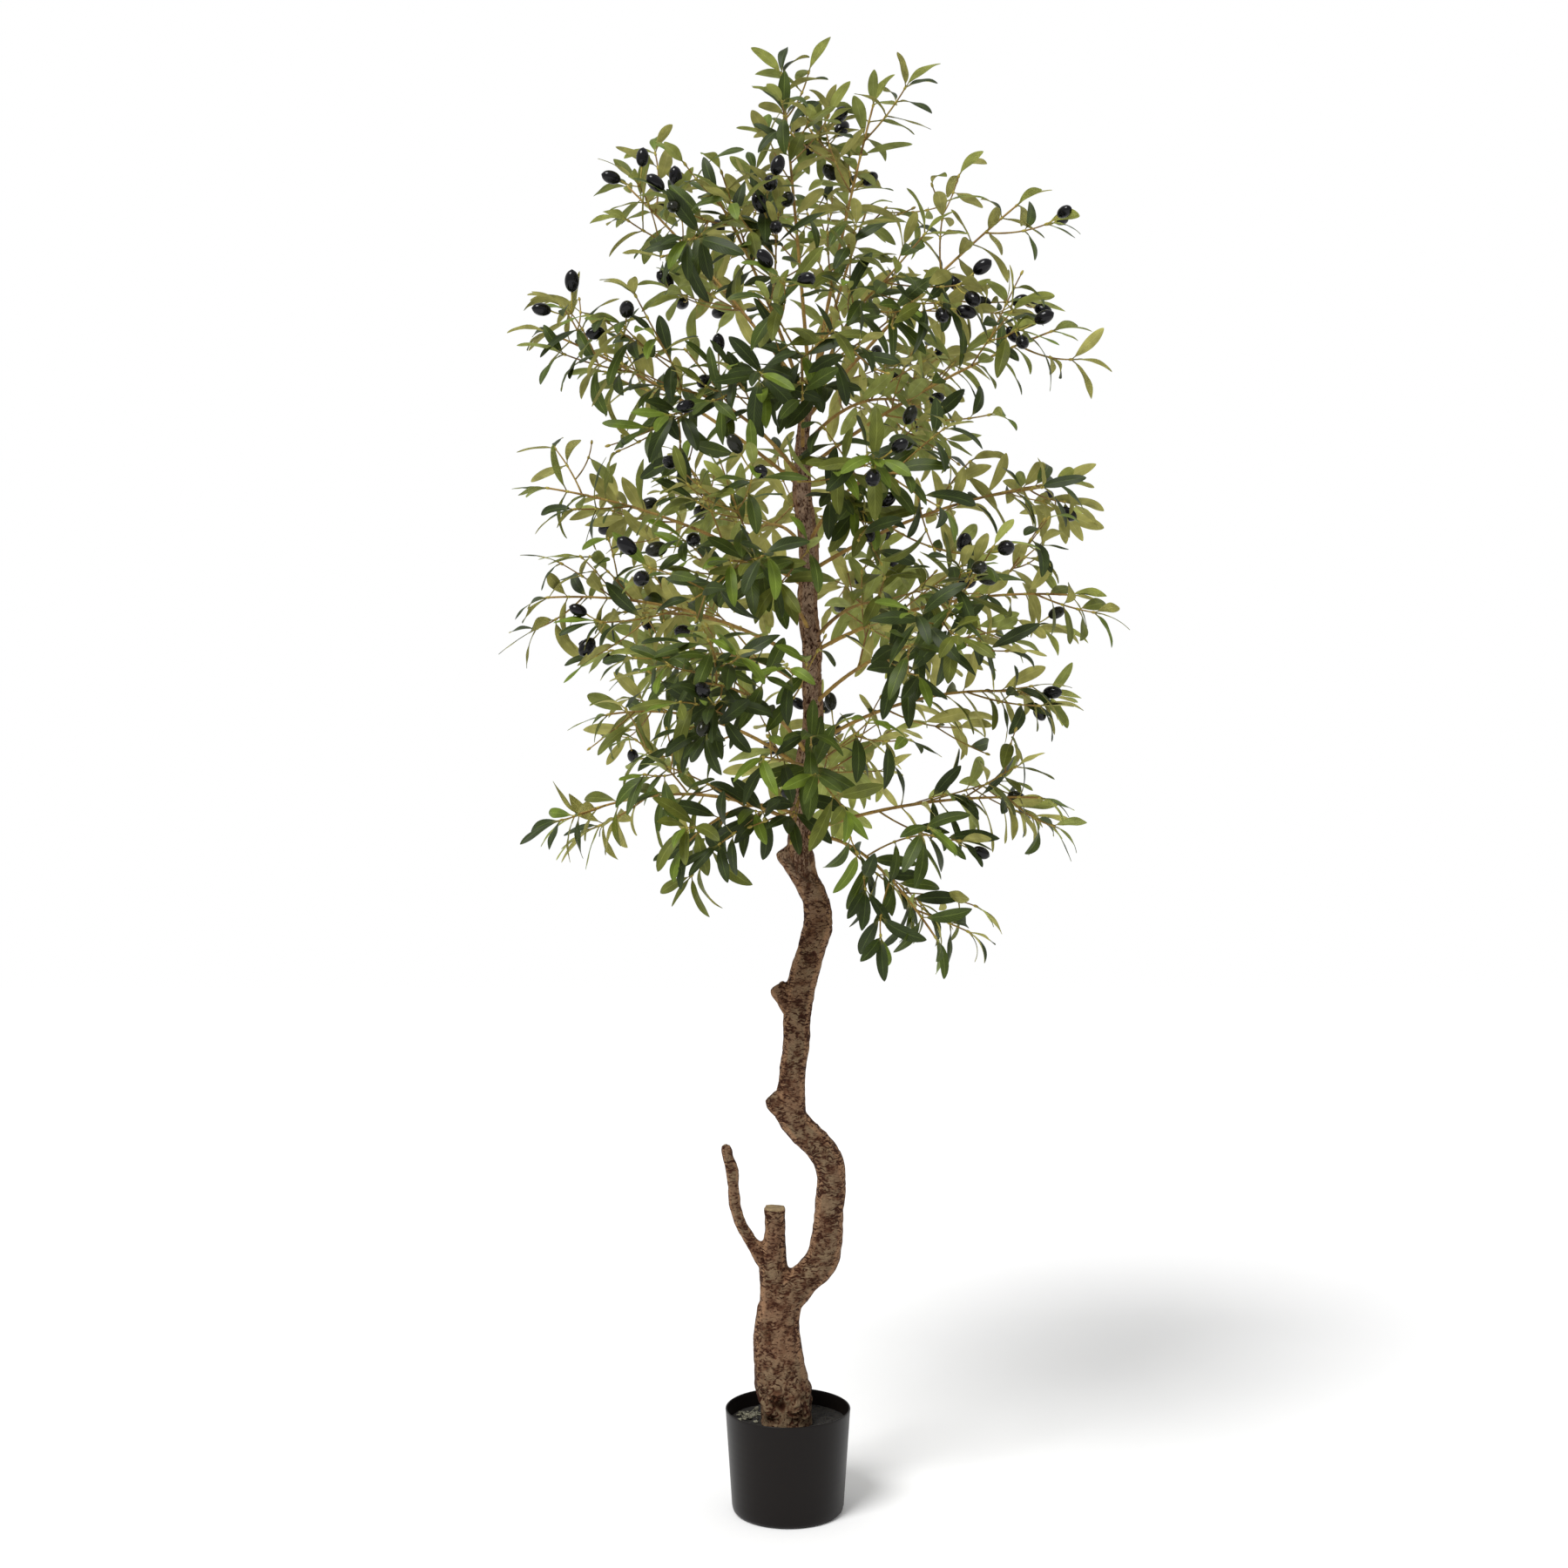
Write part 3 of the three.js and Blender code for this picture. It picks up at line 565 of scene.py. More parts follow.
# Polyester leaf cloth, printed and pressed: a dull sheen, a pale pressed midrib with side veins about 4.5 mm
# apart, and a petiole that pales to yellow at the foot.
leafCloth = {
    "darkCloth": {"blade": "#28340a", "vein": "#485623", "foot": "#6e6c34", "roughness": 0.5},
    "greenCloth": {"blade": "#3b490e", "vein": "#5f6d2c", "foot": "#77703a", "roughness": 0.5},
    "oliveCloth": {"blade": "#585e1c", "vein": "#727833", "foot": "#83783c", "roughness": 0.55},
    "youngCloth": {"blade": "#5d6f1d", "vein": "#788a34", "foot": "#96903f", "roughness": 0.5},
    "paleUnderside": {"blade": "#aca85c", "vein": "#b9b56e", "foot": "#978c50", "roughness": 0.75},
    "youngUnderside": {"blade": "#aab058", "vein": "#b7bc6c", "foot": "#9d984c", "roughness": 0.72},
    "greenUnderside": {"blade": "#939b50", "vein": "#a3aa63", "foot": "#978c50", "roughness": 0.75},
}
leafPrint = {
    "rib": (0.012, 0.045), "veins": 14, "slant": -0.42, "veinLine": (0.7, 1.0), "veinShare": 0.4,
    "foot": (0.07, 0.22), "mottle": 16.667, "mottleValues": (0.78, 1.25),  # mottle and depth in millimetres
    "depth": 0.4, "strength": 0.3, "specular": 0.27,
}


# A leaf's print is worked out from how far along it a point is and how far across: the rib where that is near
# the middle, and side veins where a sine of both is near 1.
def leafMaterial(name, look):
    material = newMaterial(name, look["roughness"], Specular_IOR_Level=leafPrint["specular"])
    add = partial(addNode, material.node_tree)
    along = add("SeparateXYZ", [add("UVMap", uv_map="along")])
    across = along.node.outputs["Y"]
    offRib = add("Math", [add("Math", [across, 0.5], operation="SUBTRACT")], operation="ABSOLUTE")
    rib = add("MapRange", [offRib, *leafPrint["rib"], 1.0, 0.0])
    slanted = add("Math", [offRib, leafPrint["slant"], along], operation="MULTIPLY_ADD")
    phase = add("Math", [slanted, leafPrint["veins"] * 2 * np.pi], operation="MULTIPLY")
    wave = add("Math", [phase], operation="SINE")
    veins = add("MapRange", [wave, *leafPrint["veinLine"], 0.0, leafPrint["veinShare"]])
    lines = add("Math", [rib, veins], operation="MAXIMUM")
    atFoot = add("MapRange", [along, *leafPrint["foot"], 1.0, 0.0])
    mottle = add("TexNoise", {
        "Vector": add("TexCoord", output="Object"), "Scale": 1000 / leafPrint["mottle"], "Detail": 2.0})
    paintMaterial(material, look["blade"], ((lines, look["vein"]), (atFoot, look["foot"])),
                  mottle, leafPrint["mottleValues"], lines, leafPrint["strength"], leafPrint["depth"])
    return material


# What every finish with cracks shares. Its cracks show only where a noise that is wider than they are is
# high.
crackedLook = {
    "wider": 2.6, "showBand": 0.1, "fullAt": 0.4, "distortion": 0.6,
    "warmBand": (0.38, 0.62), "dip": -1.5, "values": (0.75, 1.2), "strength": 0.6,
}


# A surface of two colours and a third in lines: a noise in patches of a few centimetres chooses between the
# colours, a grain of a few millimetres shades them, and narrow bands round the middle of another noise are
# the cracks.
def crackedMaterial(name, look):
    material = newMaterial(name, look["roughness"])
    add = partial(addNode, material.node_tree)
    place = add("TexCoord", output="Object")
    patches, grain, where = (
        add("TexNoise", {"Vector": place, "Scale": 1000 / size, "Detail": detail}) for size, detail in (
            (look["patch"], 3.0), (look["grain"], 3.0), (look["crack"] * crackedLook["wider"], 2.0)))
    squashed = add("Mapping", {"Vector": place, "Scale": (1.0, 1.0, look["squash"])})
    bands = add("TexNoise", {"Vector": squashed, "Scale": 1000 / look["crack"], "Detail": 2.5,
                             "Distortion": crackedLook["distortion"]})
    offMiddle = add("Math", [add("Math", [bands, 0.5], operation="SUBTRACT")], operation="ABSOLUTE")
    fullAt = look["crackWidth"] * crackedLook["fullAt"]
    lines = add("MapRange", [offMiddle, fullAt, look["crackWidth"], 1.0, 0.0])
    inPatch = add("MapRange", [where, look["showFrom"], look["showFrom"] + crackedLook["showBand"]])
    cracks = add("Math", [lines, inPatch], operation="MULTIPLY")
    lowered = add("Math", [cracks, crackedLook["dip"], grain], operation="MULTIPLY_ADD")
    warm = add("MapRange", [patches, *crackedLook["warmBand"]])
    paintMaterial(material, look["light"], ((warm, look["warm"]), (cracks, look["dark"])),
                  grain, crackedLook["values"], lowered, crackedLook["strength"], look["depth"])
    return material


# Moulded polyurethane foam, painted taupe and brushed with a dark red-brown wash that stays in its cracks.
# The mesh gives a stretched place, how far a point is inward from the seam, and where the moulded cracks are.
# The same dark paints also lay painted shade: in the hollows between the foot's lumps, in the knots' folds
# and pits, and in a thin line along the limbs' outline seen from the front.
barkPaint = {
    "taupe": "#74614a", "rosy": "#745943", "flaked": "#a08673", "seam": "#8e6d51", "cut": "#94805f",
    "stain": "#4d2d1b", "crack": "#311608", "roughness": 0.8, "depth": 1.8,
    "noises": {  # size, detail, and whether it lies in the stretched place
        "rosy": (42, 3.0, False), "stain": (13, 4.0, False), "patch": (24, 3.0, False),
        "fray": (1.8, 3.0, False), "strokes": (9, 2.5, True), "fineStrokes": (4, 2.5, True),
        "speckles": (2.6, 2.5, True), "grain": (2.2, 3.0, True),
    },
    "aboveFoot": (0.14, 0.2), "inCrown": (0.72, 0.86),  # heights in metres, where the finish changes
    "lessInCrown": {"strokes": 0.4, "fray": 0.7, "stain": 0.45},
    "bands": {  # where each share starts and is full, and how much it is at the two
        "strokes": (0.02, 0.06, 1, 0), "strokePatch": (0.46, 0.54, 0, 1), "speckles": (0.78, 0.93, 0, 1),
        "fray": (0.15, 0.95, 0, 1), "stain": (0.47, 0.64, 0, 0.75), "rosy": (0.4, 0.6, 0, 1),
        "seam": (1.15, 0.75, 0, 0.78), "washed": (0, 0.55, 0, 0.8), "cracked": (0.5, 1, 0, 1),
        # The first band on the next line lays the stain colour as painted shade: a thin dark line along each
        # limb's outline seen from the front, laid on as the seam's dark paint.
        "seamLine": (0.013, -0.077, 0, 0.7), "sawn": (-0.2, -0.8, 0, 0.8),
    },
    "frayed": 0.7, "speckled": 0.5,  # how much a noise adds to the cracks, and the stains to the speckles
    "flakedShare": 0.8,
    "dip": -0.8, "values": (0.8, 1.18), "strength": 0.9, "specular": 0.15,
}


# The noises give rosy patches, stains, strokes where one is near its middle, and speckles. The share of each
# tint is one of these, ramped in its band and then lessened in the crown or at the foot.
def barkMaterial():
    material = newMaterial("paintedBarkFoam", barkPaint["roughness"],
                           Specular_IOR_Level=barkPaint["specular"])
    add = partial(addNode, material.node_tree)
    place = add("TexCoord", output="Object")
    brushed = add("Attribute", output="Vector", attribute_name="brushed")
    cracked, inward = (add("Attribute", output="Fac", attribute_name=kind) for kind in ("crack", "inward"))
    height = add("SeparateXYZ", [place], output="Z")
    aboveFoot, inCrown = (add("MapRange", [height, *barkPaint[band]]) for band in ("aboveFoot", "inCrown"))
    noise = {}
    for name, (size, detail, stretched) in barkPaint["noises"].items():
        where = brushed if stretched else place
        noise[name] = add("TexNoise", {"Vector": where, "Scale": 1000 / size, "Detail": detail})
    strokes = add("Mix", {0: inCrown, 2: noise["strokes"], 3: noise["fineStrokes"]}, data_type="FLOAT")
    strokes = add("Math", [add("Math", [strokes, 0.5], operation="SUBTRACT")], operation="ABSOLUTE")
    frayed = add("Math", [noise["fray"], 0.5], operation="SUBTRACT")
    share = {
        "strokes": strokes, "strokePatch": noise["patch"], "stain": noise["stain"], "rosy": noise["rosy"],
        "speckles": add("Math", [noise["stain"], barkPaint["speckled"], noise["speckles"]],
                        operation="MULTIPLY_ADD"),
        "fray": add("Math", [frayed, barkPaint["frayed"], cracked], operation="MULTIPLY_ADD"),
        "seam": inward, "seamLine": inward, "sawn": cracked,
    }
    share = {name: add("MapRange", [source, *barkPaint["bands"][name]]) for name, source in share.items()}
    less = {name: add("MapRange", [inCrown, 0.0, 1.0, 1.0, least])
            for name, least in barkPaint["lessInCrown"].items()}
    for name, other in {**less, "rosy": aboveFoot, "seam": aboveFoot}.items():
        share[name] = add("Math", [share[name], other], operation="MULTIPLY")
    # The dark marks take in the crack attribute, so the wash and crack tints also lay its painted shade: the
    # foot's hollows and the knots' folds and pits.
    dark = add("Math", [share["strokes"], share["strokePatch"]], operation="MULTIPLY")
    for name in ("speckles", "fray"):
        dark = add("Math", [dark, share[name]], operation="MAXIMUM")
    share["flaked"] = add("Math", [inCrown, barkPaint["flakedShare"]], operation="MULTIPLY")
    share["washed"], share["cracked"] = (
        add("MapRange", [dark, *barkPaint["bands"][name]]) for name in ("washed", "cracked"))
    # The stain colour also lays the thin line of painted shade along the limbs' outline.
    tints = [(share[name], barkPaint[tint]) for name, tint in (
        ("rosy", "rosy"), ("flaked", "flaked"), ("stain", "stain"), ("seam", "seam"), ("washed", "stain"),
        ("cracked", "crack"), ("seamLine", "stain"), ("sawn", "cut"))]
    lowered = add("Math", [dark, barkPaint["dip"], noise["grain"]], operation="MULTIPLY_ADD")
    paintMaterial(material, barkPaint["taupe"], tints, noise["grain"], barkPaint["values"], lowered,
                  barkPaint["strength"], barkPaint["depth"])
    return material


paintedBark = barkMaterial()
# Steel wire in paper tape, ochre where it's new and brown where it's rubbed.
tapedWire = crackedMaterial("tapedWire", {
    "light": "#a5843f", "warm": "#88662b", "dark": "#4f3717", "roughness": 0.7, "patch": 22, "grain": 2.5,
    "crack": 6, "crackWidth": 0.03, "squash": 0.6, "showFrom": 0.55, "depth": 0.4})
# Thin polythene twigs, dull ochre.
twigPlastic = crackedMaterial("ochreTwigPlastic", {
    "light": "#977c33", "warm": "#7a5a24", "dark": "#463013", "roughness": 0.6, "patch": 18, "grain": 2,
    "crack": 5, "crackWidth": 0.03, "squash": 0.6, "showFrom": 0.6, "depth": 0.3})
# The same polythene where it's left yellow: sockets at the nodes, twig tips and olive stalks.
socketPlastic = crackedMaterial("yellowSocketPlastic", {
    "light": "#b0a243", "warm": "#988335", "dark": "#6a5626", "roughness": 0.55, "patch": 20, "grain": 2,
    "crack": 5, "crackWidth": 0.02, "squash": 1, "showFrom": 0.6, "depth": 0.2})
leafMaterials = [leafMaterial(name, look) for name, look in leafCloth.items()]
# Soft vinyl with a gloss, black, some of it a little green where the colour is thin.
vinyl = {
    "skins": {"glossyBlackVinyl": ("#08070a", 0.14), "glossyGreenBlackVinyl": ("#1b1c10", 0.17)},
    "specular": 0.3,
}
oliveMaterials = [
    newMaterial(name, roughness, Base_Color=linearFrom(colour), Specular_IOR_Level=vinyl["specular"])
    for name, (colour, roughness) in vinyl["skins"].items()]
print("materials made")


# Leaves as whole arrays. Along a leaf the middle line is a circular arc that also bends to one side by its
# square, and the half width is sin(pi q^w)^r past the petiole. The edges rise by a share of the half width
# and ripple by a sine, and the blade twists evenly along its length.
blade = {
    "rows": (0, 0.1, 0.135, 0.19, 0.26, 0.34, 0.43, 0.52, 0.61, 0.7, 0.78, 0.86, 0.93, 0.975, 1.0),
    "across": (-1, 0, 1, 0), "petiole": 0.1, "petioleHalf": 0.7, "tipHalf": 0.3, "thick": 0.8, "rib": 0.4,
    "shorter": 0.88, "wider": 0.95, "flatter": 0.85,  # against the leaf that room was kept for
    "widest": (0.95, 1.25), "roundness": 0.64, "sideways": 0.16, "twist": 0.6, "fold": (-0.1, 0.36),
    "ripple": 0.14, "waves": (0.8, 1.6),
    "twistFrom": 0.2, "stalkTo": 0.15, "tipFrom": 0.99,  # shares of its length
    "tipThinner": 0.7,  # share of its thickness that the tip loses
    "tones": (0.5, 0.32, 0.18), "young": 0.3,  # shares of the sprays, and of the leaves at tips
    "high": 16,  # the masses from there on are a mesh of their own
}


def leafArrays(leaves, rng):
    foot, way, top = (column(leaves, key)[:, None, None] for key in ("foot", "way", "top"))
    length, width, arch = (column(leaves, key)[:, None, None, None] for key in ("length", "width", "arch"))
    length, width, arch = length * blade["shorter"], width * blade["wider"], arch * blade["flatter"]
    side = np.cross(way, top)
    vary = lambda low, high: rng.uniform(low, high, (len(leaves), 1, 1, 1))
    s = np.array(blade["rows"])[None, :, None, None]
    u = np.array(blade["across"])[None, None, :, None]
    under = np.array([0, 0, 0, 1])[None, None, :, None]
    q = np.clip((s - blade["petiole"]) / (1 - blade["petiole"]), 0, 1)
    half = width / 2 * np.sin(np.pi * q ** vary(*blade["widest"])).clip(0) ** blade["roundness"]
    half = np.maximum(half, np.where(s > blade["tipFrom"], blade["tipHalf"], blade["petioleHalf"]))
    bent = arch * s
    middle = foot + way * length * np.sin(bent) / arch - top * length * (1 - np.cos(bent)) / arch
    middle = middle + side * length * vary(-blade["sideways"], blade["sideways"]) * s * s
    normal = top * np.cos(bent) + way * np.sin(bent)
    twist = vary(-blade["twist"], blade["twist"]) * (s - blade["twistFrom"])
    acrossWay = side * np.cos(twist) + normal * np.sin(twist)
    upWay = normal * np.cos(twist) - side * np.sin(twist)
    fold = vary(*blade["fold"]) * np.abs(u)
    ripple = blade["ripple"] * np.sin(2 * np.pi * (vary(*blade["waves"]) * s + vary(0, 1))) * u
    thick = np.where(s < blade["stalkTo"], 2 * blade["petioleHalf"], blade["thick"])
    thick = thick * (1 - blade["tipThinner"] * (s > blade["tipFrom"]))
    body = thick * (0.5 * (1 - np.abs(u)) * (1 - 2 * under)) - blade["rib"] * under * (1 - s)
    points = middle + acrossWay * u * half + upWay * (half * (fold + ripple) + body)
    uv = np.broadcast_to(np.concatenate([s + 0 * u, (u + 1) / 2 + 0 * s], -1), points.shape[:3] + (2,))
    return points.reshape(len(leaves), -1, 3), uv.reshape(len(leaves), -1, 2)


rng = np.random.default_rng(11)
leaves = grown["leaves"]
leafPoints, leafUv = leafArrays(leaves, rng)
leafFaces = ringFaces(len(leaves), len(blade["rows"]), 4)
facesEach = len(leafFaces) // len(leaves)
# The top colour goes by spray, dark, green or olive, and some of the leaves at a spray's tip are young.
darkTop, greenTop, oliveTop, youngTop, paleUnder, youngUnder, greenUnder = range(len(leafCloth))
sprays = sorted({one["spray"] for one in leaves})
sprayTone = dict(zip(sprays, rng.choice([darkTop, greenTop, oliveTop], len(sprays), p=blade["tones"])))
young = (column(leaves, "node") == 0) & (rng.random(len(leaves)) < blade["young"])
topTone = np.where(young, youngTop, [sprayTone[one["spray"]] for one in leaves])
underTone = np.where(topTone == youngTop, youngUnder, np.where(topTone == greenTop, greenUnder, paleUnder))
onUnderside = np.tile([False, False, True, True], len(blade["rows"]) - 1)
onUnderside = np.concatenate([onUnderside, np.zeros(facesEach - len(onUnderside), bool)])
# A leaf's underside is split along the same diagonals as its top, so that the two never cross.
rolled = np.tile(onUnderside, len(leaves))
leafFaces[rolled] = np.roll(leafFaces[rolled], -1, axis=1)
leafTone = np.where(onUnderside[None], underTone[:, None], topTone[:, None])
foliageNodes = [f"foliage_{i + 1:02d}" for i in range(len(boughs))]
owner = column(leaves, "own")
# The two edges of a leaf and its pressed rib are creases, so each half is lit as the flat cloth that it is.
for name, first, last in (("leaves_low", 0, blade["high"]), ("leaves_high", blade["high"], len(boughs))):
    chosen = (owner >= first) & (owner < last)
    faces = leafFaces[:facesEach * chosen.sum()]
    piece = makePiece(name, leafPoints[chosen].reshape(-1, 3), faces, leafMaterials, leafTone[chosen].ravel(),
                      leafUv[chosen].reshape(-1, 2))
    side, otherSide = (rowsOf(piece.data.edges, "vertices", np.int32) % len(blade["across"])).T
    creased = (side == otherSide) & (side != side.max())
    piece.data.attributes.new("sharp_edge", "BOOLEAN", "EDGE").data.foreach_set("value", creased)
    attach(piece, "root")
    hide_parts(*foliageNodes[first:last])
print("leaves:", len(leaves))

# Olives: a stretched ball, half width 2 sqrt(s(1-s)), with rings closest at its two ends, and a blunt point.
fruit = {
    "rings": 15, "sides": 18, "point": 0.6, "length": 24.4, "width": 16.2, "green": 0.2,
    "ends": (0.02, 0.98), "askew": (0.2, 0.3, 0.93),  # first and last ring, and a way that none lies along
}


def oliveArrays(olives):
    way = column(olives, "way")
    size = column(olives, "size")[:, None, None, None]
    middle = column(olives, "middle")[:, None, None]
    side = unit(np.cross(way, fruit["askew"]))
    other = np.cross(way, side)
    s = (0.5 - 0.5 * np.cos(np.pi * np.linspace(*fruit["ends"], fruit["rings"])))[None, :, None, None]
    k = 2 * np.pi * np.arange(fruit["sides"]) / fruit["sides"]
    ring = np.cos(k)[:, None] * side[:, None, None] + np.sin(k)[:, None] * other[:, None, None]
    half = fruit["width"] * size * np.sqrt(s * (1 - s))
    along = fruit["length"] * size * (s - 0.5) + fruit["point"] * (s == s.max())
    return (middle + way[:, None, None] * along + ring * half).reshape(-1, 3)


olives = grown["olives"]
olivePoints = oliveArrays(olives)
oliveFaces = ringFaces(len(olives), fruit["rings"], fruit["sides"])
oliveTone = np.repeat(rng.random(len(olives)) < fruit["green"], len(oliveFaces) // len(olives)).astype(int)
olivesPiece = makePiece("olives", olivePoints, oliveFaces, oliveMaterials, oliveTone)
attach(olivesPiece, "root")
print("olives:", len(olives))


wire = {
    "rings": 56, "sides": 12, "knots": 0.05, "boughRadii": (2.6, 1.2),
    "tape": (0.25, 5), "tapeRise": 0.01,  # height and size of its folds, which stand out nearly level
    "twigRings": 11, "twigSides": 8, "twigKnots": 0.06, "twigRadii": (1.25, 0.9),
    "knotTurn": 1.9,  # from one ring to the next, of a turn of 2 pi
    "stalkRings": 6, "stalkSides": 6, "stalkSag": 8,
    "stalkInto": 2, "stalkWider": 0.5,  # how far into the olive, and the share that it widens by there
}


# Twigs and their stems: tubes along the grown curves, thinner to the tip, a little knotty by a sine.
def curveTubes(lines, rings, sides, radii, knots):
    points = np.array([curve.at(np.linspace(0, end, rings)) for curve, end in lines])
    share = np.linspace(0, 1, rings)
    thick = radii[0] + (radii[1] - radii[0]) * share
    thick = thick * (1 + knots * np.sin(share * rings * wire["knotTurn"] + np.arange(len(lines))[:, None]))
    points = tubePoints(points, thick, sides, steadySide(points)).reshape(-1, 3)
    return points, ringFaces(len(lines), rings, sides)


# Joins several sets of points and faces into one.
def joinedArrays(sets):
    starts = np.cumsum([0] + [len(points) for points, _ in sets])
    return (np.concatenate([points for points, _ in sets]),
            np.concatenate([faces + start for (_, faces), start in zip(sets, starts)]))


boughPoints, boughFaces = curveTubes([(curve, 1) for curve in curves], wire["rings"], wire["sides"],
                                     wire["boughRadii"], wire["knots"])
wrapped = wire["tape"][0] * noiseAt(boughPoints, wire["tape"][1], 3)
boughPoints = boughPoints + wrapped[:, None] * unit(boughPoints * [1, 1, wire["tapeRise"]])
boughsPiece = makePiece("boughs", boughPoints, boughFaces, [tapedWire])
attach(boughsPiece, "root")
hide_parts(*[f"bough_{i + 1:02d}" for i in range(bareBoughs)])

twigPoints, twigFaces = joinedArrays([
    curveTubes(grown[kind], wire["twigRings"], wire["twigSides"], radii, wire["twigKnots"])
    for kind, radii in (("twigs", wire["twigRadii"]), ("fineTwigs", fineTwig["radii"]))])
twigsPiece = makePiece("twigs", twigPoints, twigFaces, [twigPlastic])
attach(twigsPiece, "root")

# Sockets: short sleeves round the twig where a pair of leaves leaves it, widest a third of the way along.
# Each olive's stalk sags by s(1-s) and widens at the olive by s^4.
socket = {
    "length": 6.5, "profile": ((0, 1.0), (0.3, 1.8), (0.65, 1.7), (1, 0.9)), "sides": 6,
    "behind": 0.6,  # the share that is before the leaves
}
places, ways = (column(grown["nodes"], key) for key in ("place", "way"))
along, wide = np.array(socket["profile"]).T
sleeveLines = places[:, None] + ways[:, None] * (socket["length"] * (along - socket["behind"]))[None, :, None]
sleeveSide = unit(np.cross(ways, askew))
sleeves = tubePoints(sleeveLines, np.tile(wide, (len(places), 1)), socket["sides"], sleeveSide).reshape(-1, 3)
stalkShare = np.linspace(0, 1, wire["stalkRings"])[:, None]
sag = -upward * wire["stalkSag"] * stalkShare * (1 - stalkShare)
stalkFeet, stalkWays = (column(olives, key)[:, None] for key in ("foot", "way"))
stalkLines = stalkFeet + stalkWays * (olive["stalk"] + wire["stalkInto"]) * stalkShare + sag
stalkRadii = olive["stalkRadius"] * (1 + wire["stalkWider"] * stalkShare[:, 0] ** 4)
stalkRadii = np.tile(stalkRadii, (len(olives), 1))
stalks = tubePoints(stalkLines, stalkRadii, wire["stalkSides"], steadySide(stalkLines)).reshape(-1, 3)
socketPoints, socketFaces = joinedArrays([
    (sleeves, ringFaces(len(places), len(along), socket["sides"])),
    (stalks, ringFaces(len(olives), wire["stalkRings"], wire["stalkSides"]))])
socketsPiece = makePiece("sockets_and_stalks", socketPoints, socketFaces, [socketPlastic])
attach(socketsPiece, "root")
print("boughs, twigs and sockets made")

# The trunk with its knobs and limbs: closed tubes joined by a voxel remesh, then moved along their normals.
bark = {
    "ring": 4, "sides": 36, "voxel": 1.5, "lobes": (0.03, 0.025, 60),  # two shares, and a height
    "ringStart": (0.0, -1.0, 0.05), "smooth": (0.5, 4),  # share of the way, and how often
    "widerFoot": 1.04, "grown": (12, 0.2),  # the height over which the relief starts, and its least share
    "lumps": (1.0, 30), "ridges": (0.7, 9),  # height and size
    "footLumps": (4.2, 14, 185, 50),  # height, size, how far up, and fading
    # The hollows between the foot's lumps are darkened with the crack paint: painted shade there, and the
    # wash that settles there.
    "hollows": (-1.6, -0.4, 0.95),  # how the hollows between those lumps are darkened
    "strokes": (9, 0.08, 0.9),  # size, how near 0, and depth
    "fineStrokes": (0.4, 2.1),  # share, and how many times finer
    "strokePatch": (24, 0.08, 0.15),  # size, and where the patches start and how soon they are full
    "around": 0.55, "along": 1.4, "atFoot": 0.8, "wiggle": (1.8, 7), "upright": (780, 60, 40),
    "seamBand": (7, 0.42),  # how wide its paint is, and at most what share of the limb's radius
    "seamAt": 0.42, "seamWidth": 0.23, "seamHeight": 0.4,  # in widths of the band
    "knots": [  # side, height, radius and rise of each knot that shows on the front
        (-17.6, 147, 9.5, 3.6), (9, 130, 10.5, 4), (-27, 221, 8, 3.2), (0.5, 175, 6.5, 1.8),
        (-12, 315, 3.4, 1.2), (-11, 293, 3.2, 1.0), (29, 285, 4.6, 1.6), (-30, 306, 5, 1.8),
        (-6, 641, 5, 1.6), (26, 447, 3.2, 1.0), (33, 180, 6, 2.0), (50, 395, 4, 1.2), (12, 560, 4, 1.2),
        (24, 705, 4.5, 1.4), (-22, 262, 5, 1.6),
    ],
    "folds": 1.3, "foldRise": 0.5, "foldReach": 1.15,  # to a knot's radius, and shares of its rise and radius
    # The last value on the next line is how darkly a knot's pit is painted: the wash, and painted shade in
    # that hollow.
    "foldGap": 0.2, "knotWiggle": 0.9, "knotClears": 0.6, "pitShade": 0.9,
    "cracksAtFoot": 0.5, "seamAtFoot": 0.7, "seamClears": 0.7,  # shares taken off there
    "pit": (0.25, -0.2, 0.3, 0.6),  # side, height, size and depth, in shares of the knot's
    "sawn": (1.02, -1.6),  # share of the end's radius, and how far back
    "crotches": [(3, 288, 13), (-34, 328, 9)],  # side, height and reach
    "melting": (60, 0.01),  # how often, and the least share that is moved
}


# A smooth curve through stations, at even steps: on each span the cubic with the slopes of its two ends.
def smoothLine(points, radii, step):
    rows = np.column_stack([points, radii])
    far = np.concatenate([[0], np.cumsum(np.linalg.norm(np.diff(points, axis=0), axis=1))])
    slope = np.gradient(rows, far, axis=0)
    at = np.linspace(0, far[-1], int(far[-1] / step) + 2)
    k = np.clip(np.searchsorted(far, at, side="right") - 1, 0, len(far) - 2)
    span = (far[k + 1] - far[k])[:, None]
    s = (at[:, None] - far[k][:, None]) / span
    made = ((2 * s ** 3 - 3 * s ** 2 + 1) * rows[k] + (s ** 3 - 2 * s ** 2 + s) * span * slope[k]
            + (3 * s ** 2 - 2 * s ** 3) * rows[k + 1] + (s ** 3 - s ** 2) * span * slope[k + 1])
    return made[:, :3], made[:, 3]


# A limb's rings: their radius times 1 - a cos(2k) + b cos(3k - z/c), so they are a little wider than deep and
# never quite round.
def limbArrays(line):
    points, radii = smoothLine(*line, bark["ring"])
    k = 2 * np.pi * np.arange(bark["sides"]) / bark["sides"]
    first, second, turning = bark["lobes"]
    lobed = radii[:, None] * (1 - first * np.cos(2 * k) + second * np.cos(3 * k - points[:, 2:] / turning))
    made = tubePoints(points[None], lobed[None], bark["sides"], np.array([bark["ringStart"]]))
    return made.reshape(-1, 3), ringFaces(1, len(points), bark["sides"])


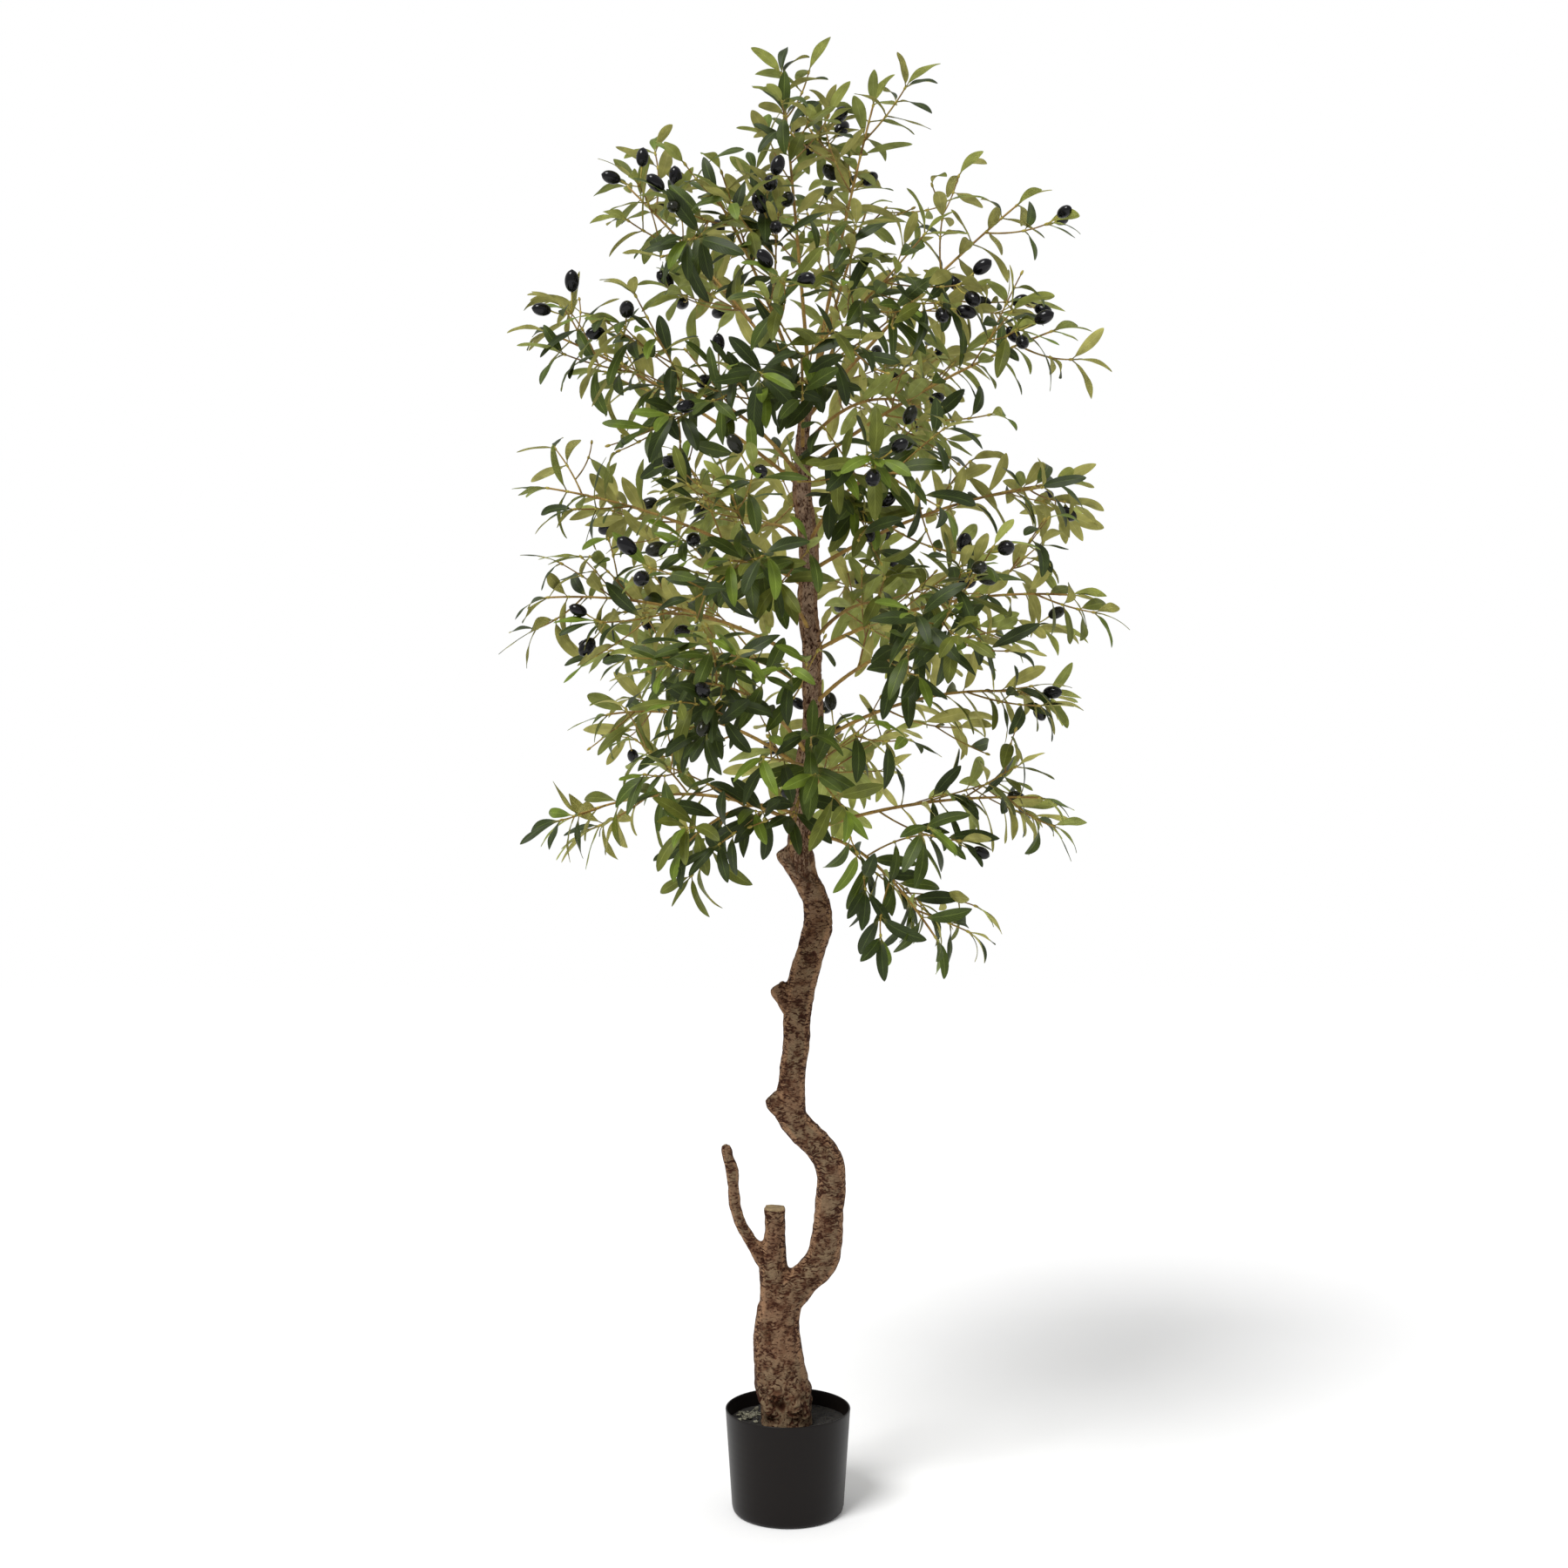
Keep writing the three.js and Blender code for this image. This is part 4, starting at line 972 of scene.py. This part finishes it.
limbLines = [
    (np.vstack([trunkLine[0][:1] - upward * trunk["sunk"], trunkLine[0]]),
     np.append(trunkLine[1][0] * bark["widerFoot"], trunkLine[1])),
    *knobLines, lineThrough(trunk["cutLimb"]), lineThrough(trunk["sideLimb"]),
]
limbPoints, limbFaces = joinedArrays([limbArrays(line) for line in limbLines])
trunkPiece = makePiece("trunk_and_limbs", limbPoints, limbFaces, [paintedBark])
remesh = trunkPiece.modifiers.new("remesh", "REMESH")
remesh.mode, remesh.voxel_size, remesh.use_smooth_shade = "VOXEL", bark["voxel"] * metresPerMillimetre, True
smooth = trunkPiece.modifiers.new("smooth", "SMOOTH")
smooth.factor, smooth.iterations = bark["smooth"]
shaped = bpy.data.meshes.new_from_object(trunkPiece.evaluated_get(bpy.context.evaluated_depsgraph_get()))
trunkPiece.modifiers.clear()
trunkPiece.data = shaped


# How far each point is from the side of the limb nearest to it, where the seam is, in widths of the painted
# band. Those sides are the limb's left and right as seen from the front, so the same measure also lays a thin
# line of painted shade along the outline.
def fromSeam(points):
    nearest = np.full(len(points), np.inf)
    inward = np.zeros(len(points))
    widest, widestShare = bark["seamBand"]
    for line, radii in limbLines:
        for k in range(len(line) - 1):
            span = line[k + 1] - line[k]
            share = np.clip((points - line[k]) @ span / (span @ span), 0, 1)
            off = points - line[k] - share[:, None] * span
            radius = radii[k] + share * (radii[k + 1] - radii[k])
            gap = np.linalg.norm(off, axis=1) / radius
            closer = gap < nearest
            nearest[closer] = gap[closer]
            aside = np.abs(off @ unit(np.array([span[2], 0.0, -span[0]])))
            inward[closer] = ((radius - aside) / np.minimum(widest, widestShare * radius))[closer]
    return inward


# The bark: lumps and ridges of noise; grooves where a stretched noise that wiggles is near 0, in some
# patches, level below, upright in the crown and rounder at the foot; a raised seam along both sides where the
# mould's halves met; and knots, each a dome with folds that wind out of its middle by
# cos(fold turns + 2 angle), and a pit beside it. Gives the height, the stretched place, how far from the seam
# each point is, and how much of a crack: the dark paint in the grooves, and also painted shade laid with the
# wash in the hollows between the foot's lumps and in the knots' folds and pits.
def barkRelief(points):
    inward = fromSeam(points)
    height = np.zeros(len(points))
    for (rise, size), seed in ((bark["lumps"], 5), (bark["ridges"], 6)):
        height += rise * noiseAt(points, size, seed)
    rise, size, reach, fading = bark["footLumps"]
    atFoot = np.clip((reach - points[:, 2]) / fading, 0, 1)
    hollows = noiseAt(points, size, 9)
    height += rise * hollows * atFoot
    swing, swingSize = bark["wiggle"]
    wiggle = swing * np.column_stack([noiseAt(points, swingSize, seed) for seed in (11, 12, 13)])
    level = np.array([bark["around"], bark["around"], bark["along"]])
    border, uneven, size = bark["upright"]
    below = points[:, 2] < border + uneven * noiseAt(points, size, 14)
    stretch = np.where(below[:, None], level, level[::-1])
    stretch = stretch + atFoot[:, None] * (bark["atFoot"] - stretch)
    brushed = (points + wiggle - upward * (reach - fading / 2)) * stretch
    size, width, depth = bark["strokes"]
    fineShare, finer = bark["fineStrokes"]
    lines = noiseAt(brushed, size, 23) + fineShare * noiseAt(brushed, size / finer, 24)
    patchSize, start, fullIn = bark["strokePatch"]
    crack = np.exp(-(lines / width) ** 2) * np.clip((noiseAt(points, patchSize, 25) - start) / fullIn, 0, 1)
    # Painted shade: the crack paint also goes into the hollows between the foot's lumps, with the wash that
    # settles there.
    steep, offset, most = bark["hollows"]
    crack = np.maximum(crack * (1 - bark["cracksAtFoot"] * atFoot),
                       np.clip(steep * hollows + offset, 0, most) * atFoot)
    pitSide, pitLevel, pitSize, pitDepth = bark["pit"]
    front = points[:, 1] < depthAt(points[:, 2])
    for side, knotLevel, size, rise in bark["knots"]:
        offset = points[:, [0, 2]] - [side, knotLevel] + bark["knotWiggle"] * wiggle[:, [0, 2]]
        off = np.linalg.norm(offset, axis=1) / size
        folds = np.cos(2 * np.pi * bark["folds"] * off + 2 * np.arctan2(offset[:, 1], offset[:, 0]) + side)
        fromPit = np.linalg.norm(offset - [pitSide * size, pitLevel * size], axis=1)
        pit = np.exp(-(fromPit / size / pitSize) ** 2)
        height += front * rise * (np.exp(-off ** 2) * (1 + bark["foldRise"] * folds) - pitDepth * pit)
        # The dark paint between a knot's folds and in its pit is the wash there, and painted shade in those
        # hollows.
        between = np.clip(-folds - bark["foldGap"], 0, 1) * np.exp(-(off / bark["foldReach"]) ** 4)
        crack = crack * (1 - bark["knotClears"] * front * np.exp(-off ** 4))
        crack = np.maximum(crack, front * np.maximum(between, bark["pitShade"] * pit))
    seam = np.exp(-((inward - bark["seamAt"]) / bark["seamWidth"]) ** 2) * (1 - bark["seamAtFoot"] * atFoot)
    crack = crack * (1 - bark["seamClears"] * seam)
    wider, back = bark["sawn"]
    for line, radii in limbLines[-2:]:  # the sawn ends, marked with -1
        past = (points - line[-1]) @ unit(line[-1] - line[-2])
        crack[(np.linalg.norm(points - line[-1], axis=1) < wider * radii[-1]) & (past > back)] = -1
    return height + bark["seamHeight"] * seam - depth * crack.clip(0), brushed, inward, crack


# Melts the crotches round: points near one move again and again towards the mean of their neighbours, by
# exp(-(distance / reach)^2).
def meltCrotches(points, edges):
    times, least = bark["melting"]
    share = np.zeros(len(points))
    for side, level, reach in bark["crotches"]:
        off = np.linalg.norm(points - [side, depthAt(level), level], axis=1)
        share = np.maximum(share, np.exp(-(off / reach) ** 2))
    edges = edges[(share[edges] > least).all(1)]
    ends, others = np.concatenate([edges, edges[:, ::-1]]).T
    neighbours = np.bincount(ends, minlength=len(points))
    share = (share * (neighbours > 2))[:, None]
    for _ in range(times):
        total = np.stack([np.bincount(ends, points[others, k], len(points)) for k in range(3)], 1)
        points = points + share * (total / np.maximum(neighbours, 1)[:, None] - points)
    return points


shapedPoints = rowsOf(shaped.vertices, "co") / metresPerMillimetre
shapedPoints = meltCrotches(shapedPoints, rowsOf(shaped.edges, "vertices", np.int32))
movePoints(shaped, shapedPoints)
relief, brushed, inward, crack = barkRelief(shapedPoints)
overHeight, least = bark["grown"]
relief = relief * np.clip((shapedPoints[:, 2] - trunk["foot"]) / overHeight, least, 1)
movePoints(shaped, shapedPoints + rowsOf(shaped.vertices, "normal") * relief[:, None])
# The crack attribute holds the crack paint's share, painted shade in the foot's hollows and the knots' folds
# and pits included.
for name, kind, field, values in (("crack", "FLOAT", "value", crack), ("inward", "FLOAT", "value", inward),
                                  ("brushed", "FLOAT_VECTOR", "vector", brushed * metresPerMillimetre)):
    shaped.attributes.new(name, kind, "POINT").data.foreach_set(field, values.astype(np.float32).ravel())
shaped.update()
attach(trunkPiece, "root")
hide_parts("trunk", "cut_limb", "side_limb")
print("trunk shaped:", len(shaped.polygons), "faces")

# Blow-moulded polypropylene, black with a satin face, and faint level rings a centimetre apart, as its mould
# was turned. The wave texture has 20 / (2 pi) rings to one unit of its scale.
pot = {
    "colour": "#100b09", "roughness": 0.38, "specular": 0.18,
    "ringGap": 10.053, "ringDepth": 0.2, "ringStrength": 0.12, "ringWaver": 0.3,
    "segments": 128, "height": 125, "rim": 76.5, "foot": 68, "corner": 6, "wall": 1.8, "bead": 0.9,
    "inside": 96, "straight": 4, "hub": 0.5, "overCorner": 2,
    "steps": (7, 24, 9, 8),  # corner, outside, bead and inside
}
potBlack = newMaterial("blackPolypropylene", pot["roughness"], Base_Color=linearFrom(pot["colour"]),
                       Specular_IOR_Level=pot["specular"])
add = partial(addNode, potBlack.node_tree)
rings = add("TexWave", {
    "Vector": add("TexCoord", output="Object"), "Scale": 1000 / pot["ringGap"] * 2 * np.pi / 20,
    "Distortion": pot["ringWaver"], "Detail": 1.0}, output=1, bands_direction="Z")
ridged = add("Bump", {"Height": rings, "Strength": pot["ringStrength"],
                      "Distance": pot["ringDepth"] * metresPerMillimetre})
potBlack.node_tree.links.new(ridged, potBlack.node_tree.nodes["Principled BSDF"].inputs["Normal"])


# The pot's profile goes from the foot's middle out, up the wall, over the rim's bead and down inside to the
# filling. Wall and inside lean out evenly, and the corner and the bead are arcs.
def potProfile():
    slope = (pot["rim"] - pot["foot"]) / pot["height"]
    cornerSteps, outsideSteps, beadSteps, insideSteps = pot["steps"]
    top = pot["height"] - pot["straight"]
    corner = [(pot["foot"] - pot["corner"] * (1 - np.sin(a)), pot["corner"] * (1 - np.cos(a)))
              for a in np.linspace(0, np.pi / 2, cornerSteps)]
    outside = [(pot["foot"] + slope * z, z)
               for z in np.linspace(pot["corner"] + pot["overCorner"], top, outsideSteps)]
    beadSide, beadLevel = pot["rim"] - pot["bead"], pot["height"] - pot["bead"]
    bead = [(beadSide + pot["bead"] * np.sin(a), beadLevel + pot["bead"] * np.cos(a))
            for a in np.linspace(np.pi / 2, -np.pi / 2, beadSteps)]
    inside = [(pot["rim"] - pot["wall"] - slope * (pot["height"] - z), z)
              for z in np.linspace(top, pot["inside"], insideSteps)]
    under = [(pot["hub"], 0.0), (pot["foot"] * 0.5, 0.0)]
    return np.array([*under, *corner, *outside, *bead, *inside, (pot["hub"], pot["inside"])])


# Points on a circle of radius 1, one a segment.
def circle(segments):
    angle = 2 * np.pi * np.arange(segments) / segments
    return np.stack([np.cos(angle), np.sin(angle)], 1)


# The pot is its profile turned round the middle: radius cos k, radius sin k, height.
profile = potProfile()
potHeights = np.broadcast_to(profile[:, None, 1:], (len(profile), pot["segments"], 1))
potPoints = np.concatenate([profile[:, None, :1] * circle(pot["segments"]), potHeights], -1).reshape(-1, 3)
potPiece = makePiece("nursery_pot", potPoints, ringFaces(1, len(profile), pot["segments"]), [potBlack])
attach(potPiece, "root")
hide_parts("pot")

# Cement filling, dyed near black and crumbled: a disc whose rings rise and fall by noise, less so at the
# pot's wall, over a flat underside.
fillingGrit = crackedMaterial("darkFillingGrit", {
    "light": "#2a2621", "warm": "#1d1a16", "dark": "#0c0b0a", "roughness": 0.95, "patch": 14, "grain": 1.6,
    "crack": 4, "crackWidth": 0.05, "squash": 1, "showFrom": 0.4, "depth": 0.8})
filling = {
    "level": 107, "deep": 98, "radius": 73.2, "hub": 0.6, "rings": 48, "segments": 160,
    "lumps": (1.8, 9), "crumbs": (1.0, 3), "fading": (6, 0.3), "pinhole": 0.01,
}
ringRadii = np.linspace(filling["radius"], filling["hub"], filling["rings"])
flat = ringRadii[:, None, None] * circle(filling["segments"])
level = np.full(flat.shape[:2] + (1,), float(filling["level"]))
fillingPoints = np.concatenate([flat, level], -1).reshape(-1, 3)
uneven = sum(rise * noiseAt(fillingPoints, size, seed)
             for (rise, size), seed in ((filling["lumps"], 21), (filling["crumbs"], 22)))
overWidth, least = filling["fading"]
fromWall = filling["radius"] - np.hypot(*fillingPoints[:, :2].T)
fillingPoints[:, 2] += uneven * np.clip(fromWall / overWidth, least, 1)
deep = np.full((filling["segments"], 1), filling["deep"])
underside = [np.concatenate([flat[0] * share, deep], -1) for share in (filling["pinhole"], 1)]
fillingPiece = makePiece("pot_filling", np.concatenate([*underside, fillingPoints]),
                         ringFaces(1, filling["rings"] + 2, filling["segments"]), [fillingGrit])
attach(fillingPiece, "root")
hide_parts("filling")
print("pot and filling made")

# Dried moss, pale green-grey, strewn on the filling: flat chips, closed, tilted and a little bent by noise,
# each one a stack of three rings.
driedMoss = crackedMaterial("driedMoss", {
    "light": "#96937f", "warm": "#6f6b59", "dark": "#332f26", "roughness": 0.95, "patch": 6, "grain": 0.8,
    "crack": 3, "crackWidth": 0.06, "squash": 1, "showFrom": 0.3, "depth": 0.5})
moss = {
    "count": 48, "middle": (-46, 18), "spread": (9, 11), "within": 66, "offTrunk": 37, "above": 1.8,
    "size": (3, 7.5), "thick": 0.5, "tilt": 0.3, "sides": 6,
    "heights": (0, 0.5, 1.2), "widths": (1.0, 0.95, 0.55),  # of the three rings
    "bent": (1.6, 1.6, 0.5), "bends": 2.5, "sideRise": 0.1,
}
mossRng = np.random.default_rng(4)
mossPlaces = mossRng.normal(moss["middle"], moss["spread"], (moss["count"] * 3, 2))
offTrunk = np.hypot(mossPlaces[:, 0] - trunk["stations"][0][1], mossPlaces[:, 1]) > moss["offTrunk"]
mossPlaces = mossPlaces[(np.hypot(*mossPlaces.T) < moss["within"]) & offTrunk][:moss["count"]]
mossCount = len(mossPlaces)
mossMiddle = np.column_stack([mossPlaces, np.full(mossCount, filling["level"] + moss["above"])])
mossUp = unit(np.column_stack([mossRng.normal(0, moss["tilt"], (mossCount, 2)), np.ones(mossCount)]))
ringHeights = moss["thick"] * np.array(moss["heights"])
mossLine = mossMiddle[:, None] + mossUp[:, None] * ringHeights[None, :, None]
mossSize = mossRng.uniform(*moss["size"], mossCount)[:, None] / 2 * np.array([moss["widths"]])
mossSide = unit(mossRng.normal(0, 1, (mossCount, 3)) * [1, 1, moss["sideRise"]])
mossPoints = tubePoints(mossLine, mossSize, moss["sides"], mossSide).reshape(-1, 3)
bending = np.stack([noiseAt(mossPoints, moss["bends"], seed) for seed in (31, 32, 33)], 1)
mossPiece = makePiece("dried_moss", mossPoints + bending * moss["bent"],
                      ringFaces(mossCount, 3, moss["sides"]), [driedMoss])
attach(mossPiece, "root")
print("moss strewn")

# The floor and the light: white all round as on a studio's sweep, and one wide soft light from the upper
# front left, which is where the photograph's bright sides face.
studio = {
    "half": 6000, "thick": 20, "paper": (0.97, 0.97, 0.97, 1.0), "paperRoughness": 0.9,
    "ambient": 0.62, "sun": 2.3, "sunAngle": 24, "from": (-1.0, -1.4, 2.1),
}
floorPaper = newMaterial("whitePaper", studio["paperRoughness"], Base_Color=studio["paper"],
                         Specular_IOR_Level=0.0)
square = np.array([(-1, -1), (1, -1), (1, 1), (-1, 1)]) * float(studio["half"])
corners = np.concatenate([np.column_stack([square, np.full(4, float(z))]) for z in (-studio["thick"], 0)])
floorPiece = makePiece("floor", corners, ringFaces(1, 2, 4), [floorPaper], sharp=True)
world = bpy.data.worlds.new("white_room")
bpy.context.scene.world = world
world.use_nodes = True
seen = addNode(world.node_tree, "LightPath", output="Is Camera Ray")
strength = addNode(world.node_tree, "MapRange", {"Value": seen, "To Min": studio["ambient"], "To Max": 1.0})
backdrop = world.node_tree.nodes["Background"]
backdrop.inputs["Color"].default_value = (1.0, 1.0, 1.0, 1.0)
world.node_tree.links.new(strength, backdrop.inputs["Strength"])
sunData = bpy.data.lights.new("soft_key", "SUN")
sunData.energy, sunData.angle = studio["sun"], np.radians(studio["sunAngle"])
key = bpy.data.objects.new("soft_key", sunData)
key.rotation_euler = Vector(studio["from"]).to_track_quat("Z", "Y").to_euler()
bpy.context.scene.collection.objects.link(key)

# The camera: level, with the height and distance at which pot and crown are as tall as in the photograph.
view = {"place": (-0.0048, -2.361, 0.8886), "lens": 44.22, "sensor": 36}
cameraData = bpy.data.cameras.new("camera")
cameraData.lens, cameraData.sensor_width = view["lens"], view["sensor"]
camera = bpy.data.objects.new("camera", cameraData)
camera.location = view["place"]
camera.rotation_euler = (np.pi / 2, 0, 0)
bpy.context.scene.collection.objects.link(camera)
bpy.context.scene.camera = camera
bpy.context.scene.view_settings.view_transform = "Standard"
